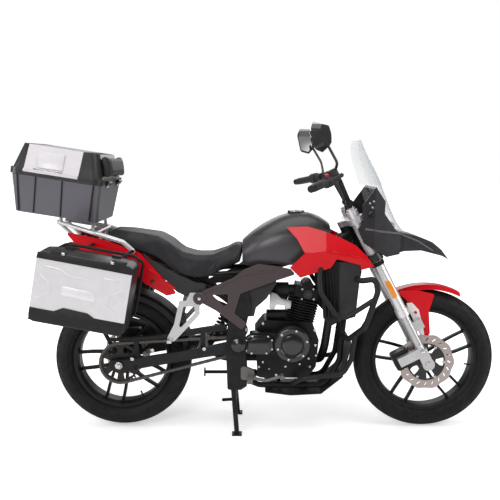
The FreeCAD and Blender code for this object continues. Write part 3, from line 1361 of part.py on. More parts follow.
def cradle_points(side):
    head = steering_point(0, side * RAIL_HEAD_SPREAD, LOWER_CLAMP_FOOT + LOWER_CLAMP_HEIGHT
                          + (TOP_CLAMP_FOOT - LOWER_CLAMP_FOOT) * CRADLE_JOINT_SHARE)
    spread = side * CRADLE_SPREAD
    return [
        head, Vector(CRADLE_FRONT_X, spread, CRADLE_FRONT_Z),
        Vector(CRADLE_NOSE_X, spread, CRADLE_LOW_Z),
        Vector(CRADLE_REAR_X + CRADLE_SPREAD, spread, CRADLE_LOW_Z),
        Vector(CRADLE_REAR_X, spread, CRADLE_REAR_Z)
    ]


def plate_outline():
    return place(PLATE_SIDE_SHARES, PLATE_REAR_X, PLATE_LOW_Z, PLATE_LENGTH, PLATE_HEIGHT)


def rail_side(side):
    return tube(rail_points(side), RAIL_RADIUS, RAIL_BEND)


def main_frame():
    """Head tube, two top rails, a double cradle and a pivot plate each side, welded."""
    head_foot = LOWER_CLAMP_FOOT + LOWER_CLAMP_HEIGHT + SIDE_PLAY
    head_top = TOP_CLAMP_FOOT - SIDE_PLAY
    head = Part.makeCylinder(HEAD_TUBE_RADIUS, head_top - head_foot, Vector(0, 0, head_foot), Z_AXIS)
    bore = Part.makeCylinder(
        STEM_RADIUS + RUNNING_GAP, TOP_CLAMP_FOOT, Vector(0, 0, UPPER_TUBE_FOOT), Z_AXIS
    )
    pieces = [steered(head)]
    for side in (1, -1):
        pieces.append(rail_side(side))
        pieces.append(tube(cradle_points(side), CRADLE_RADIUS, RAIL_BEND))
        inner, outer = sorted((side * PLATE_INNER, side * PLATE_OUTER))
        pieces.append(slab(plate_outline(), inner, outer, PLATE_CORNER))
        stud = sorted((side * STAND_BOSS_INNER, side * PLATE_INNER))
        pieces.append(cross_rod(STAND_PIVOT_X, STAND_PIVOT_Z, stud[0], stud[1], STAND_PIN_RADIUS))
    pieces.append(cross_rod(RAIL_FOOT_X, RAIL_FOOT_Z, -PLATE_OUTER, PLATE_OUTER, CROSS_TUBE_RADIUS))
    pieces.append(cross_rod(CRADLE_REAR_X, CRADLE_REAR_Z, -PLATE_OUTER, PLATE_OUTER, CROSS_TUBE_RADIUS))
    lug = box(
        SUB_FRONT_X - SUB_LUG_LENGTH, SUB_FRONT_X, RAIL_SPREAD, SUB_OUT - SUB_RADIUS - SEAT_GAP,
        SUB_LUG_LOW_Z, SUB_LOW_Z + CROSS_TUBE_RADIUS
    )
    pieces += [lug, mirrored(lug)]
    pieces.append(cross_rod(PIVOT_X, PIVOT_Z, -PLATE_OUTER, PLATE_OUTER, PIVOT_PIN_RADIUS))
    ear = slab(
        [
            Vector(RAIL_FOOT_X, 0, RAIL_FOOT_Z),
            Vector(SHOCK_TOP_X - SHOCK_BODY_RADIUS, 0, SHOCK_TOP_Z),
            Vector(SHOCK_TOP_X, 0, SHOCK_TOP_Z - SHOCK_BODY_RADIUS),
            Vector(RAIL_FOOT_X + CROSS_TUBE_RADIUS, 0, RAIL_FOOT_Z)
        ], SPRING_RADIUS, SPRING_RADIUS + RIM_WALL
    )
    pieces += [ear, mirrored(ear)]
    pieces.append(
        cross_rod(SHOCK_TOP_X, SHOCK_TOP_Z, -SPRING_RADIUS, SPRING_RADIUS, PIVOT_PIN_RADIUS / 2)
    )
    bracket_end = side_stand_point(SIDE_STAND_RADIUS * 2.4)
    pieces.append(rod(Vector(SIDE_STAND_X, CRADLE_SPREAD, CRADLE_LOW_Z), bracket_end, SIDE_STAND_RADIUS))
    pieces.append(rod(bracket_end, side_stand_point(-SIDE_STAND_RADIUS), SIDE_STAND_RADIUS / 2))
    return joined(pieces).cut(steered(bore))


def side_stand_axis():
    tilt = math.radians(SIDE_STAND_TILT)
    return Vector(0, -math.sin(tilt), -math.cos(tilt))


def side_stand_point(along):
    return Vector(SIDE_STAND_X, SIDE_STAND_Y, SIDE_STAND_Z) + side_stand_axis() * along


def sub_points(side):
    points = []
    for along, up in SUB_PATH_SHARES:
        out = SUB_REAR_OUT if along == 1 else SUB_OUT
        points.append(Vector(SUB_FRONT_X - along * SUB_LENGTH, side * out, SUB_LOW_Z + up * SUB_RISE))
    return points


def sub_at(x):
    """The middle of the left seat rail's last run, or of its end, at a given X."""
    fore, aft = sub_points(1)[3:]
    return fore + (aft - fore) * ((x - fore.x) / (aft.x - fore.x))


def rear_subframe():
    """Two seat rails with a stay below each and cross tubes between them."""
    knee, end = sub_points(1)[3:]
    stay = [
        Vector(RAIL_FOOT_X, STAY_OUT, STAY_FRONT_Z), Vector(STAY_KNEE_X, STAY_OUT, STAY_KNEE_Z),
        Vector(STAY_END_X, STAY_OUT, STAY_END_Z), Vector(knee.x, STAY_OUT, knee.z),
    ]
    side = [tube(sub_points(1), SUB_RADIUS, SUB_BEND), tube(stay, SUB_RADIUS, SUB_BEND)]
    pieces = side + [mirrored(piece) for piece in side]
    pieces.append(cross_rod(knee.x, knee.z, -STAY_OUT, STAY_OUT, SUB_CROSS_RADIUS))
    rear = sub_at(end.x + SUB_RADIUS * 2)
    pieces.append(cross_rod(rear.x, rear.z, -rear.y, rear.y, SUB_CROSS_RADIUS))
    return joined(pieces)


def engine(frame):
    """Crankcase on lugs to the cradle, finned cylinder leaning forward, head and side covers."""
    side = place(CASE_SIDE_SHARES, CASE_REAR_X, CASE_LOW_Z, CASE_LENGTH, CASE_HEIGHT)
    case = slab(side, -CASE_HALF_WIDTH, CASE_HALF_WIDTH, CASE_CORNER)
    case = case.cut(
        [
            cross_rod(
                point.x, point.z, -CASE_HALF_WIDTH - CUT_OVERRUN, CASE_HALF_WIDTH + CUT_OVERRUN,
                CRADLE_RADIUS + SEAT_GAP
            ) for point in cradle_points(1)[1:2]
        ]
    )
    fins = []
    for index in range(FIN_COUNT):
        z = (index + 1) * FIN_PITCH
        fins.append(
            box(-FIN_HALF_LENGTH, FIN_HALF_LENGTH, -FIN_HALF_WIDTH, FIN_HALF_WIDTH, z, z + FIN_WALL)
        )
    barrel_height = (FIN_COUNT + 1) * FIN_PITCH
    barrel = Part.makeCylinder(
        CYLINDER_HALF, barrel_height + FIN_PITCH * 2, Vector(0, 0, -FIN_PITCH * 2), Z_AXIS
    )
    head = box(-HEAD_HALF, HEAD_HALF, -HEAD_HALF, HEAD_HALF, barrel_height, barrel_height + HEAD_HEIGHT)
    cap = Part.makeCylinder(
        HEAD_HALF / 2, HEAD_HALF * 2, Vector(0, -HEAD_HALF, barrel_height + HEAD_HEIGHT), Y_AXIS
    )
    cylinder = joined(fins + [barrel, head, cap])
    cylinder = moved(spun(cylinder, CYLINDER_TILT), Vector(CYLINDER_X, 0, CYLINDER_Z))
    cover = turned(
        [
            (0, 0), (COVER_RADIUS, 0), (COVER_RADIUS, COVER_OUT - CASE_HALF_WIDTH - COVER_BEVEL),
            (COVER_RADIUS - COVER_BEVEL, COVER_OUT - CASE_HALF_WIDTH), (0, COVER_OUT - CASE_HALF_WIDTH)
        ]
    )
    left_cover = moved(cover, Vector(COVER_X, CASE_HALF_WIDTH, COVER_Z))
    right_cover = moved(mirrored(cover), Vector(COVER_X, -CASE_HALF_WIDTH, COVER_Z))
    sprocket_cover = cross_rod(FRONT_SPROCKET_X, FRONT_SPROCKET_Z, -SPROCKET_COVER_OUT, -CASE_HALF_WIDTH,
                               SPROCKET_COVER_RADIUS)
    bridge = box(FRONT_SPROCKET_X, COVER_X, -SPROCKET_COVER_OUT, -CASE_HALF_WIDTH,
                 FRONT_SPROCKET_Z - SPROCKET_COVER_RADIUS, FRONT_SPROCKET_Z + SPROCKET_COVER_RADIUS)
    room = SPROCKET_COVER_RADIUS - COVER_WALL
    cavity = cross_rod(
        FRONT_SPROCKET_X, FRONT_SPROCKET_Z, COVER_WALL - SPROCKET_COVER_OUT, -CASE_HALF_WIDTH, room
    )
    mouth = box(
        FRONT_SPROCKET_X - SPROCKET_COVER_RADIUS * 2, FRONT_SPROCKET_X, COVER_WALL - SPROCKET_COVER_OUT,
        -CASE_HALF_WIDTH, FRONT_SPROCKET_Z - room, FRONT_SPROCKET_Z + room
    )
    housing = joined([sprocket_cover, bridge]).cut([cavity, mouth])
    starter = Part.makeCylinder(
        STARTER_RADIUS, STARTER_LENGTH, Vector(CYLINDER_X - STARTER_LENGTH * 1.6, -STARTER_RADIUS, 0),
        X_AXIS
    )
    starter = moved(starter, Vector(0, 0, CASE_LOW_Z + CASE_HEIGHT + STARTER_RADIUS / 2))
    lugs = []
    for share in ENGINE_LUG_SHARES:
        start = CASE_REAR_X + CASE_LENGTH * share
        lugs.append(
            box(
                start, start + ENGINE_LUG_LENGTH, CRADLE_SPREAD - CRADLE_RADIUS * 2, CRADLE_SPREAD,
                CRADLE_LOW_Z, CASE_LOW_Z + CASE_CORNER
            )
        )
    lugs += [mirrored(lug) for lug in lugs]
    body = joined([case, cylinder, left_cover, right_cover, housing, starter] + lugs)
    toothed = spun(sprocket(FRONT_TEETH, SPROCKET_THICKNESS), HALF_TURN / FRONT_TEETH)
    toothed = moved(toothed, Vector(FRONT_SPROCKET_X, CHAIN_PLANE, FRONT_SPROCKET_Z))
    shaft = cross_rod(FRONT_SPROCKET_X, FRONT_SPROCKET_Z, CHAIN_PLANE, -CASE_HALF_WIDTH, AXLE_NUT_RADIUS)
    return largest(joined([body, toothed, shaft]).cut(frame))


def air_box(neighbours):
    """The air box between the frame plates, and the carburettor on the way to the cylinder."""
    side = place(AIR_BOX_SHARES, AIR_BOX_REAR_X, AIR_BOX_LOW_Z, AIR_BOX_LENGTH, AIR_BOX_HEIGHT)
    body = slab(side, -AIR_BOX_HALF_WIDTH, AIR_BOX_HALF_WIDTH, AIR_BOX_CORNER)
    front = AIR_BOX_REAR_X + AIR_BOX_LENGTH
    intake = rod(
        Vector(front - INTAKE_OVERLAP, 0, INTAKE_Z), Vector(CYLINDER_X, 0, INTAKE_Z), INTAKE_RADIUS
    )
    carburettor = rod(
        Vector(front, 0, INTAKE_Z), Vector(front + CARB_LENGTH, 0, INTAKE_Z), CARB_RADIUS
    )
    bowl = Part.makeCylinder(
        INTAKE_RADIUS, CARB_BOWL_DROP, Vector(front + CARB_LENGTH / 2, 0, INTAKE_Z - CARB_BOWL_DROP), Z_AXIS
    )
    return largest(joined([body, intake, carburettor, bowl]).cut(neighbours))


def exhaust(motor):
    """A header under the engine and an oval silencer on the left."""
    lean = math.radians(CYLINDER_TILT)
    port_z = CYLINDER_Z + (FIN_COUNT + 1) * FIN_PITCH + HEAD_HEIGHT / 2
    port_x = CYLINDER_X + HEAD_HALF + (port_z - CYLINDER_Z) * math.tan(lean)
    route = [
        Vector(port_x - CUT_OVERRUN, 0, port_z), Vector(port_x + PIPE_BEND, 0, port_z),
        Vector(PIPE_DOWN_X, 0, PIPE_DOWN_Z), Vector(PIPE_KNEE_X, 0, PIPE_KNEE_Z),
        Vector(PIPE_CROSS_X, PIPE_CROSS_Y, PIPE_SIDE_Z), Vector(PIPE_SIDE_X, PIPE_SIDE_Y, PIPE_SIDE_Z),
        Vector(PIPE_REAR_X, PIPE_SIDE_Y, PIPE_SIDE_Z),
        Vector(MUFFLER_FRONT_X, MUFFLER_Y, MUFFLER_FRONT_Z)
    ]
    header = tube(route, PIPE_RADIUS, PIPE_BEND)
    start, end = Vector(
        MUFFLER_FRONT_X, MUFFLER_Y, MUFFLER_FRONT_Z
    ), Vector(MUFFLER_REAR_X, MUFFLER_Y, MUFFLER_REAR_Z)
    run = end - start
    angle = math.degrees(math.atan2(run.z, -run.x))
    rows = []
    for share, scale in ((0, 0.6), (0.12, 1), (0.94, 1), (1, 0.82)):
        ring = Part.Wire(
            Part.Ellipse(Vector(), MUFFLER_HALF_HEIGHT * scale, MUFFLER_HALF_WIDTH * scale).toShape()
        )
        ring.rotate(Vector(), Y_AXIS, -HALF_TURN / 2)
        ring.translate(Vector(-share * run.Length, 0, 0))
        rows.append(ring)
    can = Part.makeLoft(rows, True, True)
    outlet = Part.makeCylinder(
        MUFFLER_OUTLET_RADIUS, MUFFLER_HALF_WIDTH, Vector(-run.Length, 0, 0), -X_AXIS
    )
    hole = Part.makeCylinder(
        MUFFLER_OUTLET_RADIUS - RIM_WALL / 2, MUFFLER_HALF_WIDTH * 2,
        Vector(-run.Length - MUFFLER_HALF_WIDTH, 0, 0), X_AXIS
    )
    can = joined([can, outlet]).cut(hole)
    can = moved(spun(can, angle), start)
    return largest(joined([header, can]).cut(motor))


def tank_section(x, low, high, half):
    """A tank cross-section: flat sides, rounded shoulders and a crowned top."""
    height = high - low
    points = [
        Vector(x, half * 0.86, low), Vector(x, half, low + height * 0.3),
        Vector(x, half * 0.9, low + height * 0.72), Vector(x, half * 0.44, high - height * 0.04),
        Vector(x, 0, high)
    ]
    right = [Vector(point.x, -point.y, point.z) for point in reversed(points[:-1])]
    curve = Part.BSplineCurve()
    curve.interpolate(points + right)
    closing = Part.LineSegment(right[-1], points[0])
    return Part.Wire([curve.toShape(), closing.toShape()])


def tank_body():
    rows = []
    for along, low, high, width in TANK_SECTION_SHARES:
        rows.append(tank_section(TANK_REAR_X + along * TANK_LENGTH, TANK_LOW_Z + low * TANK_HEIGHT,
                                 TANK_LOW_Z + high * TANK_HEIGHT, TANK_HALF_WIDTH * width))
    return Part.makeLoft(rows, True, False)


def rail_room(points, radius, low):
    """The space of a pair of rails and all below and between them."""
    half = max(abs(point.y) for point in points) + radius + SEAT_GAP
    ordered = sorted(points, key=lambda point: point.x)
    first, last = ordered[0], ordered[-1]
    line = [Vector(point.x, 0, point.z) for point in ordered]
    corners = line + [Vector(last.x + SEAT_HEIGHT, 0, last.z), Vector(last.x + SEAT_HEIGHT, 0, low),
                      Vector(first.x - SEAT_HEIGHT, 0, low), Vector(first.x - SEAT_HEIGHT, 0, first.z)]
    return slab(corners, -half, half)


def fuel_tank(guards):
    """The tank, hollowed below for the frame rails that it straddles."""
    body = tank_body()
    tunnel = rail_room(rail_points(1)[:3], RAIL_RADIUS, TANK_LOW_Z - TANK_HEIGHT)
    grown = [tube(rail_points(side), RAIL_RADIUS + SEAT_GAP, RAIL_BEND) for side in (1, -1)]
    body = largest(body.cut([tunnel, guards] + grown))
    along = TANK_REAR_X + TANK_LENGTH * TANK_CAP_SHARE
    top = TANK_LOW_Z + TANK_HEIGHT
    cap = Part.makeCylinder(
        TANK_CAP_RADIUS, TANK_CAP_HEIGHT * 2, Vector(along, 0, top - TANK_CAP_HEIGHT), Z_AXIS
    )
    return joined([body, cap])


def shroud(tank, guard):
    """A creased side panel standing off the tank on two bosses."""
    side = place(SHROUD_SIDE_SHARES, SHROUD_REAR_X, SHROUD_LOW_Z, SHROUD_LENGTH, SHROUD_HEIGHT)
    rows = []
    top = SHROUD_LOW_Z + SHROUD_HEIGHT * 1.05
    low = SHROUD_LOW_Z - SHROUD_HEIGHT * 0.05
    for along, share, crease in SHROUD_STATION_SHARES:
        out = SHROUD_REAR_OUT + share * (SHROUD_FRONT_OUT - SHROUD_REAR_OUT)
        middle = SHROUD_LOW_Z + crease * SHROUD_HEIGHT
        rows.append(
            (
                SHROUD_REAR_X + along * SHROUD_LENGTH,
                [(out - SHROUD_LEAN, top), (out, middle), (out - SHROUD_TUCK, low)]
            )
        )
    sheet = skin(rows, SHROUD_WALL).common(slab(side, 0, SHROUD_FRONT_OUT * 2))
    bosses = []
    for along, up in ((0.24, 0.72), (0.42, 0.6)):
        x, z = SHROUD_REAR_X + along * SHROUD_LENGTH, SHROUD_LOW_Z + up * SHROUD_HEIGHT
        boss = cross_rod(x, z, TANK_HALF_WIDTH * 0.6, SHROUD_FRONT_OUT, SHROUD_TUCK)
        boss = boss.cut([slab_beyond(rows), tank])
        bosses.append(max(boss.Solids, key=lambda solid: solid.CenterOfMass.y))
    return largest(joined([sheet] + bosses).cut(guard))


def slab_beyond(rows):
    """Everything outside a sheet's outer face."""
    return skin([(x, [(y + SHROUD_FRONT_OUT, z) for y, z in row]) for x, row in rows], SHROUD_FRONT_OUT)


def side_panel(frame, guard):
    """The panel beside the radiator space, with upright fins and two posts to the frame."""
    side = place(
        SIDE_PANEL_SHARES, SIDE_PANEL_REAR_X, SIDE_PANEL_LOW_Z, SIDE_PANEL_LENGTH, SIDE_PANEL_HEIGHT
    )
    high = SIDE_PANEL_OUT
    rows = []
    for along, depth in ((-0.05, 0.8), (0.5, 0.0), (1.05, 0.5)):
        out = high - depth * SIDE_PANEL_DEPTH
        rows.append(
            (
                SIDE_PANEL_REAR_X + along * SIDE_PANEL_LENGTH,
                [
                    (out, SIDE_PANEL_LOW_Z + SIDE_PANEL_HEIGHT * 1.1),
                    (out - SIDE_PANEL_DEPTH / 3, SIDE_PANEL_LOW_Z - SIDE_PANEL_HEIGHT * 0.1)
                ]
            )
        )
    sheet = skin(rows, SIDE_PANEL_WALL).common(slab(side, 0, high * 2, SIDE_PANEL_WALL * 2))
    posts = []
    for share in SIDE_PANEL_POST_SHARES:
        z = SIDE_PANEL_LOW_Z + share * SIDE_PANEL_HEIGHT
        top, foot = cradle_points(1)[0], cradle_points(1)[1]
        along = (z - foot.z) / (top.z - foot.z)
        x = foot.x + along * (top.x - foot.x)
        y = foot.y + along * (top.y - foot.y)
        post = cross_rod(x, z, y, high - SIDE_PANEL_DEPTH, SIDE_PANEL_WALL * 2)
        reach = box(
            SIDE_PANEL_REAR_X + SIDE_PANEL_LENGTH / 4, x, high - SIDE_PANEL_DEPTH - SIDE_PANEL_WALL * 2,
            high - SIDE_PANEL_DEPTH / 2, z - SIDE_PANEL_WALL, z + SIDE_PANEL_WALL
        )
        beyond = skin([(px, [(py + high, pz) for py, pz in row]) for px, row in rows], high)
        piece = joined([post, reach]).cut([beyond, frame])
        posts.append(max(piece.Solids, key=lambda solid: solid.CenterOfMass.y))
    return largest(joined([sheet] + posts).cut(guard))


def seat(racks):
    """A stepped two-person cushion, its skirts hanging outside the seat rails."""
    length = TANK_REAR_X - SEAT_GAP - SEAT_REAR_X
    rows = []
    for along, low, high, width in SEAT_SECTION_SHARES:
        x = SEAT_REAR_X + along * length
        half = SEAT_PASSENGER_HALF_WIDTH * width
        z_low, z_high = SEAT_LOW_Z + low * SEAT_HEIGHT, SEAT_LOW_Z + high * SEAT_HEIGHT
        edge = half * (1 - SEAT_EDGE_SHARE)
        drop = min(SEAT_EDGE_DROP, (z_high - z_low) / 3)
        corners = [Vector(x, -half, z_low), Vector(x, -half, z_high - drop), Vector(x, -edge, z_high),
                   Vector(x, edge, z_high), Vector(x, half, z_high - drop), Vector(x, half, z_low)]
        rows.append(Part.makePolygon(corners + corners[:1]))
    body = Part.makeLoft(rows, True, True)
    tunnel = rail_room(sub_points(1), SUB_RADIUS, SEAT_LOW_Z - SEAT_HEIGHT)
    grown = [tube(sub_points(side), SUB_RADIUS + SEAT_GAP, SUB_BEND) for side in (1, -1)]
    return largest(body.cut([tunnel, racks] + grown))


def side_cover(cushion, hanger):
    side = place(
        SIDE_COVER_SHARES, SIDE_COVER_REAR_X, SIDE_COVER_LOW_Z, SIDE_COVER_LENGTH, SIDE_COVER_HEIGHT
    )
    inner = STAY_LIMIT + SEAT_GAP
    return largest(slab(side, inner, inner + SIDE_COVER_WALL, SIDE_COVER_WALL * 2).cut([cushion, hanger]))


def frame_cover(hanger):
    side = place(
        FRAME_COVER_SHARES, FRAME_COVER_REAR_X, FRAME_COVER_LOW_Z, FRAME_COVER_LENGTH,
        FRAME_COVER_HEIGHT
    )
    inner = PLATE_OUTER + SEAT_GAP
    window = place(
        FRAME_COVER_WINDOW_SHARES, FRAME_COVER_REAR_X, FRAME_COVER_LOW_Z, FRAME_COVER_LENGTH,
        FRAME_COVER_HEIGHT
    )
    sheet = slab(side, inner, inner + FRAME_COVER_WALL, FRAME_COVER_WALL)
    sheet = sheet.cut(slab(window, 0, inner * 2, FRAME_COVER_WALL / 2))
    cap = cross_rod(
        STAY_KNEE_X + CROSS_TUBE_RADIUS, STAY_KNEE_Z - CROSS_TUBE_RADIUS, inner,
        inner + FRAME_COVER_WALL * 1.6, CROSS_TUBE_RADIUS * 2
    )
    return largest(joined([sheet, cap]).cut(hanger))


def tail_panel(neighbours):
    """The red panel below the rack, bulged along a crease."""
    side = place(TAIL_SHARES, TAIL_REAR_X, TAIL_LOW_Z, TAIL_LENGTH, TAIL_HEIGHT)
    rows = []
    for along, share in TAIL_STATION_SHARES:
        out = TAIL_REAR_OUT + share * (TAIL_FRONT_OUT - TAIL_REAR_OUT)
        crease = TAIL_LOW_Z + TAIL_HEIGHT * (1.02 - 0.62 * max(along, 0))
        rows.append(
            (
                TAIL_REAR_X + along * TAIL_LENGTH,
                [
                    (out - TAIL_BULGE, TAIL_LOW_Z + TAIL_HEIGHT * 1.3), (out, crease),
                    (out - TAIL_BULGE, TAIL_LOW_Z - TAIL_HEIGHT * 0.1)
                ]
            )
        )
    sheet = skin(rows, TAIL_WALL).common(slab(side, 0, TAIL_FRONT_OUT * 2, TAIL_WALL * 2))
    return largest(sheet.cut(neighbours))


def rear_mudguard():
    """The undertail, plate holder, tail lamp and rear indicators."""
    half = MUDGUARD_HALF_WIDTH
    side = place(MUDGUARD_SHARES, MUDGUARD_REAR_X, MUDGUARD_LOW_Z, MUDGUARD_LENGTH, MUDGUARD_HEIGHT)
    tray = slab(side, -half, half)
    lamp_z = MUDGUARD_LOW_Z + MUDGUARD_HEIGHT
    lamp = box(
        MUDGUARD_REAR_X - TAIL_LAMP_DEPTH, MUDGUARD_REAR_X + TAIL_LAMP_DEPTH, -TAIL_LAMP_HALF_WIDTH,
        TAIL_LAMP_HALF_WIDTH, lamp_z - TAIL_LAMP_HEIGHT, lamp_z
    )
    pieces = [tray, lamp]
    stalk_x = MUDGUARD_REAR_X + MUDGUARD_LENGTH * 0.09
    stalk_z = MUDGUARD_LOW_Z + MUDGUARD_HEIGHT * 0.55
    reach = half + INDICATOR_REACH
    pieces.append(cross_rod(stalk_x, stalk_z, -reach, reach, INDICATOR_STALK_RADIUS))
    for y in (-reach, reach):
        pieces.append(
            Part.makeCylinder(
                INDICATOR_RADIUS, INDICATOR_RADIUS * 3,
                Vector(stalk_x - INDICATOR_RADIUS * 2, y, stalk_z), X_AXIS
            )
        )
    cross = sub_at(SUB_FRONT_X - SUB_LENGTH + SUB_RADIUS * 2)
    for y in (-half * MUDGUARD_POST_SHARE, half * MUDGUARD_POST_SHARE):
        pieces.append(
            rod(
                Vector(cross.x, y, lamp_z - TAIL_LAMP_HEIGHT), Vector(cross.x, y, cross.z),
                SUB_CROSS_RADIUS
            )
        )
    return joined(pieces)


def rack_points(side):
    front, rear = side * RACK_FRONT_OUT, side * RACK_REAR_OUT
    return [
        Vector(RACK_FRONT_X, front, RACK_FRONT_Z), Vector(RACK_SHOULDER_X, front, RACK_SHOULDER_Z),
        Vector(RACK_MIDDLE_X, front, RACK_MIDDLE_Z), Vector(RACK_REAR_X, rear, RACK_REAR_Z),
    ]


def case_place(shape):
    return moved(spun(shape, TOP_CASE_TILT), Vector(TOP_CASE_X, 0, TOP_CASE_Z))


def case_point(along, y, up):
    tilt = math.radians(TOP_CASE_TILT)
    return Vector(TOP_CASE_X + along * math.cos(tilt) + up * math.sin(tilt), y,
                  TOP_CASE_Z - along * math.sin(tilt) + up * math.cos(tilt))


def rear_rack(subframe):
    """Grab rails with a case plate above them, on posts that reach the seat rails."""
    pieces = [tube(rack_points(side), RACK_RADIUS, RACK_BEND) for side in (1, -1)]
    low, high = (share * TOP_CASE_FLOOR_LENGTH for share in RACK_PLATE_SHARES)
    plate = box(low, high, -RACK_PLATE_HALF_WIDTH, RACK_PLATE_HALF_WIDTH, -RACK_PLATE, 0)
    pieces.append(case_place(plate))
    front, middle, rear = (rack_points(1)[index] for index in (0, 2, 3))
    for share in RACK_POST_SHARES:
        top = case_point(TOP_CASE_FLOOR_LENGTH * share, 0, -RACK_PLATE * 0.85)
        foot = middle + (rear - middle) * ((top.x - middle.x) / (rear.x - middle.x))
        lean = min(foot.y, RACK_PLATE_HALF_WIDTH - RACK_POST_RADIUS)
        post = rod(foot, Vector(top.x, lean, top.z), RACK_POST_RADIUS)
        pieces += [post, mirrored(post)]
    pieces.append(cross_rod(middle.x, middle.z, -middle.y, middle.y, RACK_POST_RADIUS))
    seat_rail = sub_at(middle.x)
    legs = [
        rod(front, sub_at(front.x), RACK_POST_RADIUS),
        rod(Vector(middle.x, seat_rail.y, middle.z), seat_rail, RACK_POST_RADIUS),
        rod(rear, sub_points(1)[4], RACK_POST_RADIUS),
    ]
    for leg in legs:
        pieces += [leg, mirrored(leg)]
    return largest(joined(pieces).cut(subframe))


def rounded_rectangle(x_from, x_to, half_width, z, radius):
    points = [
        Vector(x_from, -half_width, z), Vector(x_to, -half_width, z), Vector(x_to, half_width, z),
        Vector(x_from, half_width, z)
    ]
    return Part.Wire(rounded_edges(points, radius, True))


def case_inside(low, high, corner, wall):
    """What two rounded rectangles hold between them, inside walls of that thickness."""
    wires = []
    for start, end, half, z in (low, high):
        wires.append(rounded_rectangle(start + wall, end - wall, half - wall, z, corner - wall))
    return Part.makeLoft(wires, True, True)


def case_shell(low, high, corner, wall, open_high):
    """A hollow moulding between two rounded rectangles, open at its high or low end."""
    (low_from, low_to, low_half, low_z), (high_from, high_to, high_half, high_z) = low, high
    outer = Part.makeLoft([rounded_rectangle(low_from, low_to, low_half, low_z, corner),
                           rounded_rectangle(high_from, high_to, high_half, high_z, corner)], True, True)
    floor = low_z + wall if open_high else low_z
    roof = high_z if open_high else high_z - wall
    reach = high_half * 4
    room = Part.makeBox(reach * 2, reach * 2, roof - floor, Vector(-reach, -reach, floor))
    inner = case_inside(low, high, corner, wall).common(room)
    return outer.cut(inner)


def hinge(length):
    """A hinge along X through the origin: lugs with a pin, and the barrel between them."""
    half = length / 2
    lug_from = half + SEAT_GAP
    pin = Part.makeCylinder(
        HINGE_PIN_RADIUS, length + HINGE_LUG * 2, Vector(-half - HINGE_LUG, 0, 0), X_AXIS
    )
    fixed = [pin]
    for start in (-lug_from - HINGE_LUG, lug_from):
        fixed.append(Part.makeCylinder(HINGE_BARREL_RADIUS, HINGE_LUG, Vector(start, 0, 0), X_AXIS))
    barrel = Part.makeCylinder(HINGE_BARREL_RADIUS, length, Vector(-half, 0, 0), X_AXIS)
    bore = Part.makeCylinder(
        HINGE_PIN_RADIUS + RUNNING_GAP, length + CUT_OVERRUN, Vector(-half - CUT_OVERRUN / 2, 0, 0),
        X_AXIS
    )
    return fixed, barrel, bore


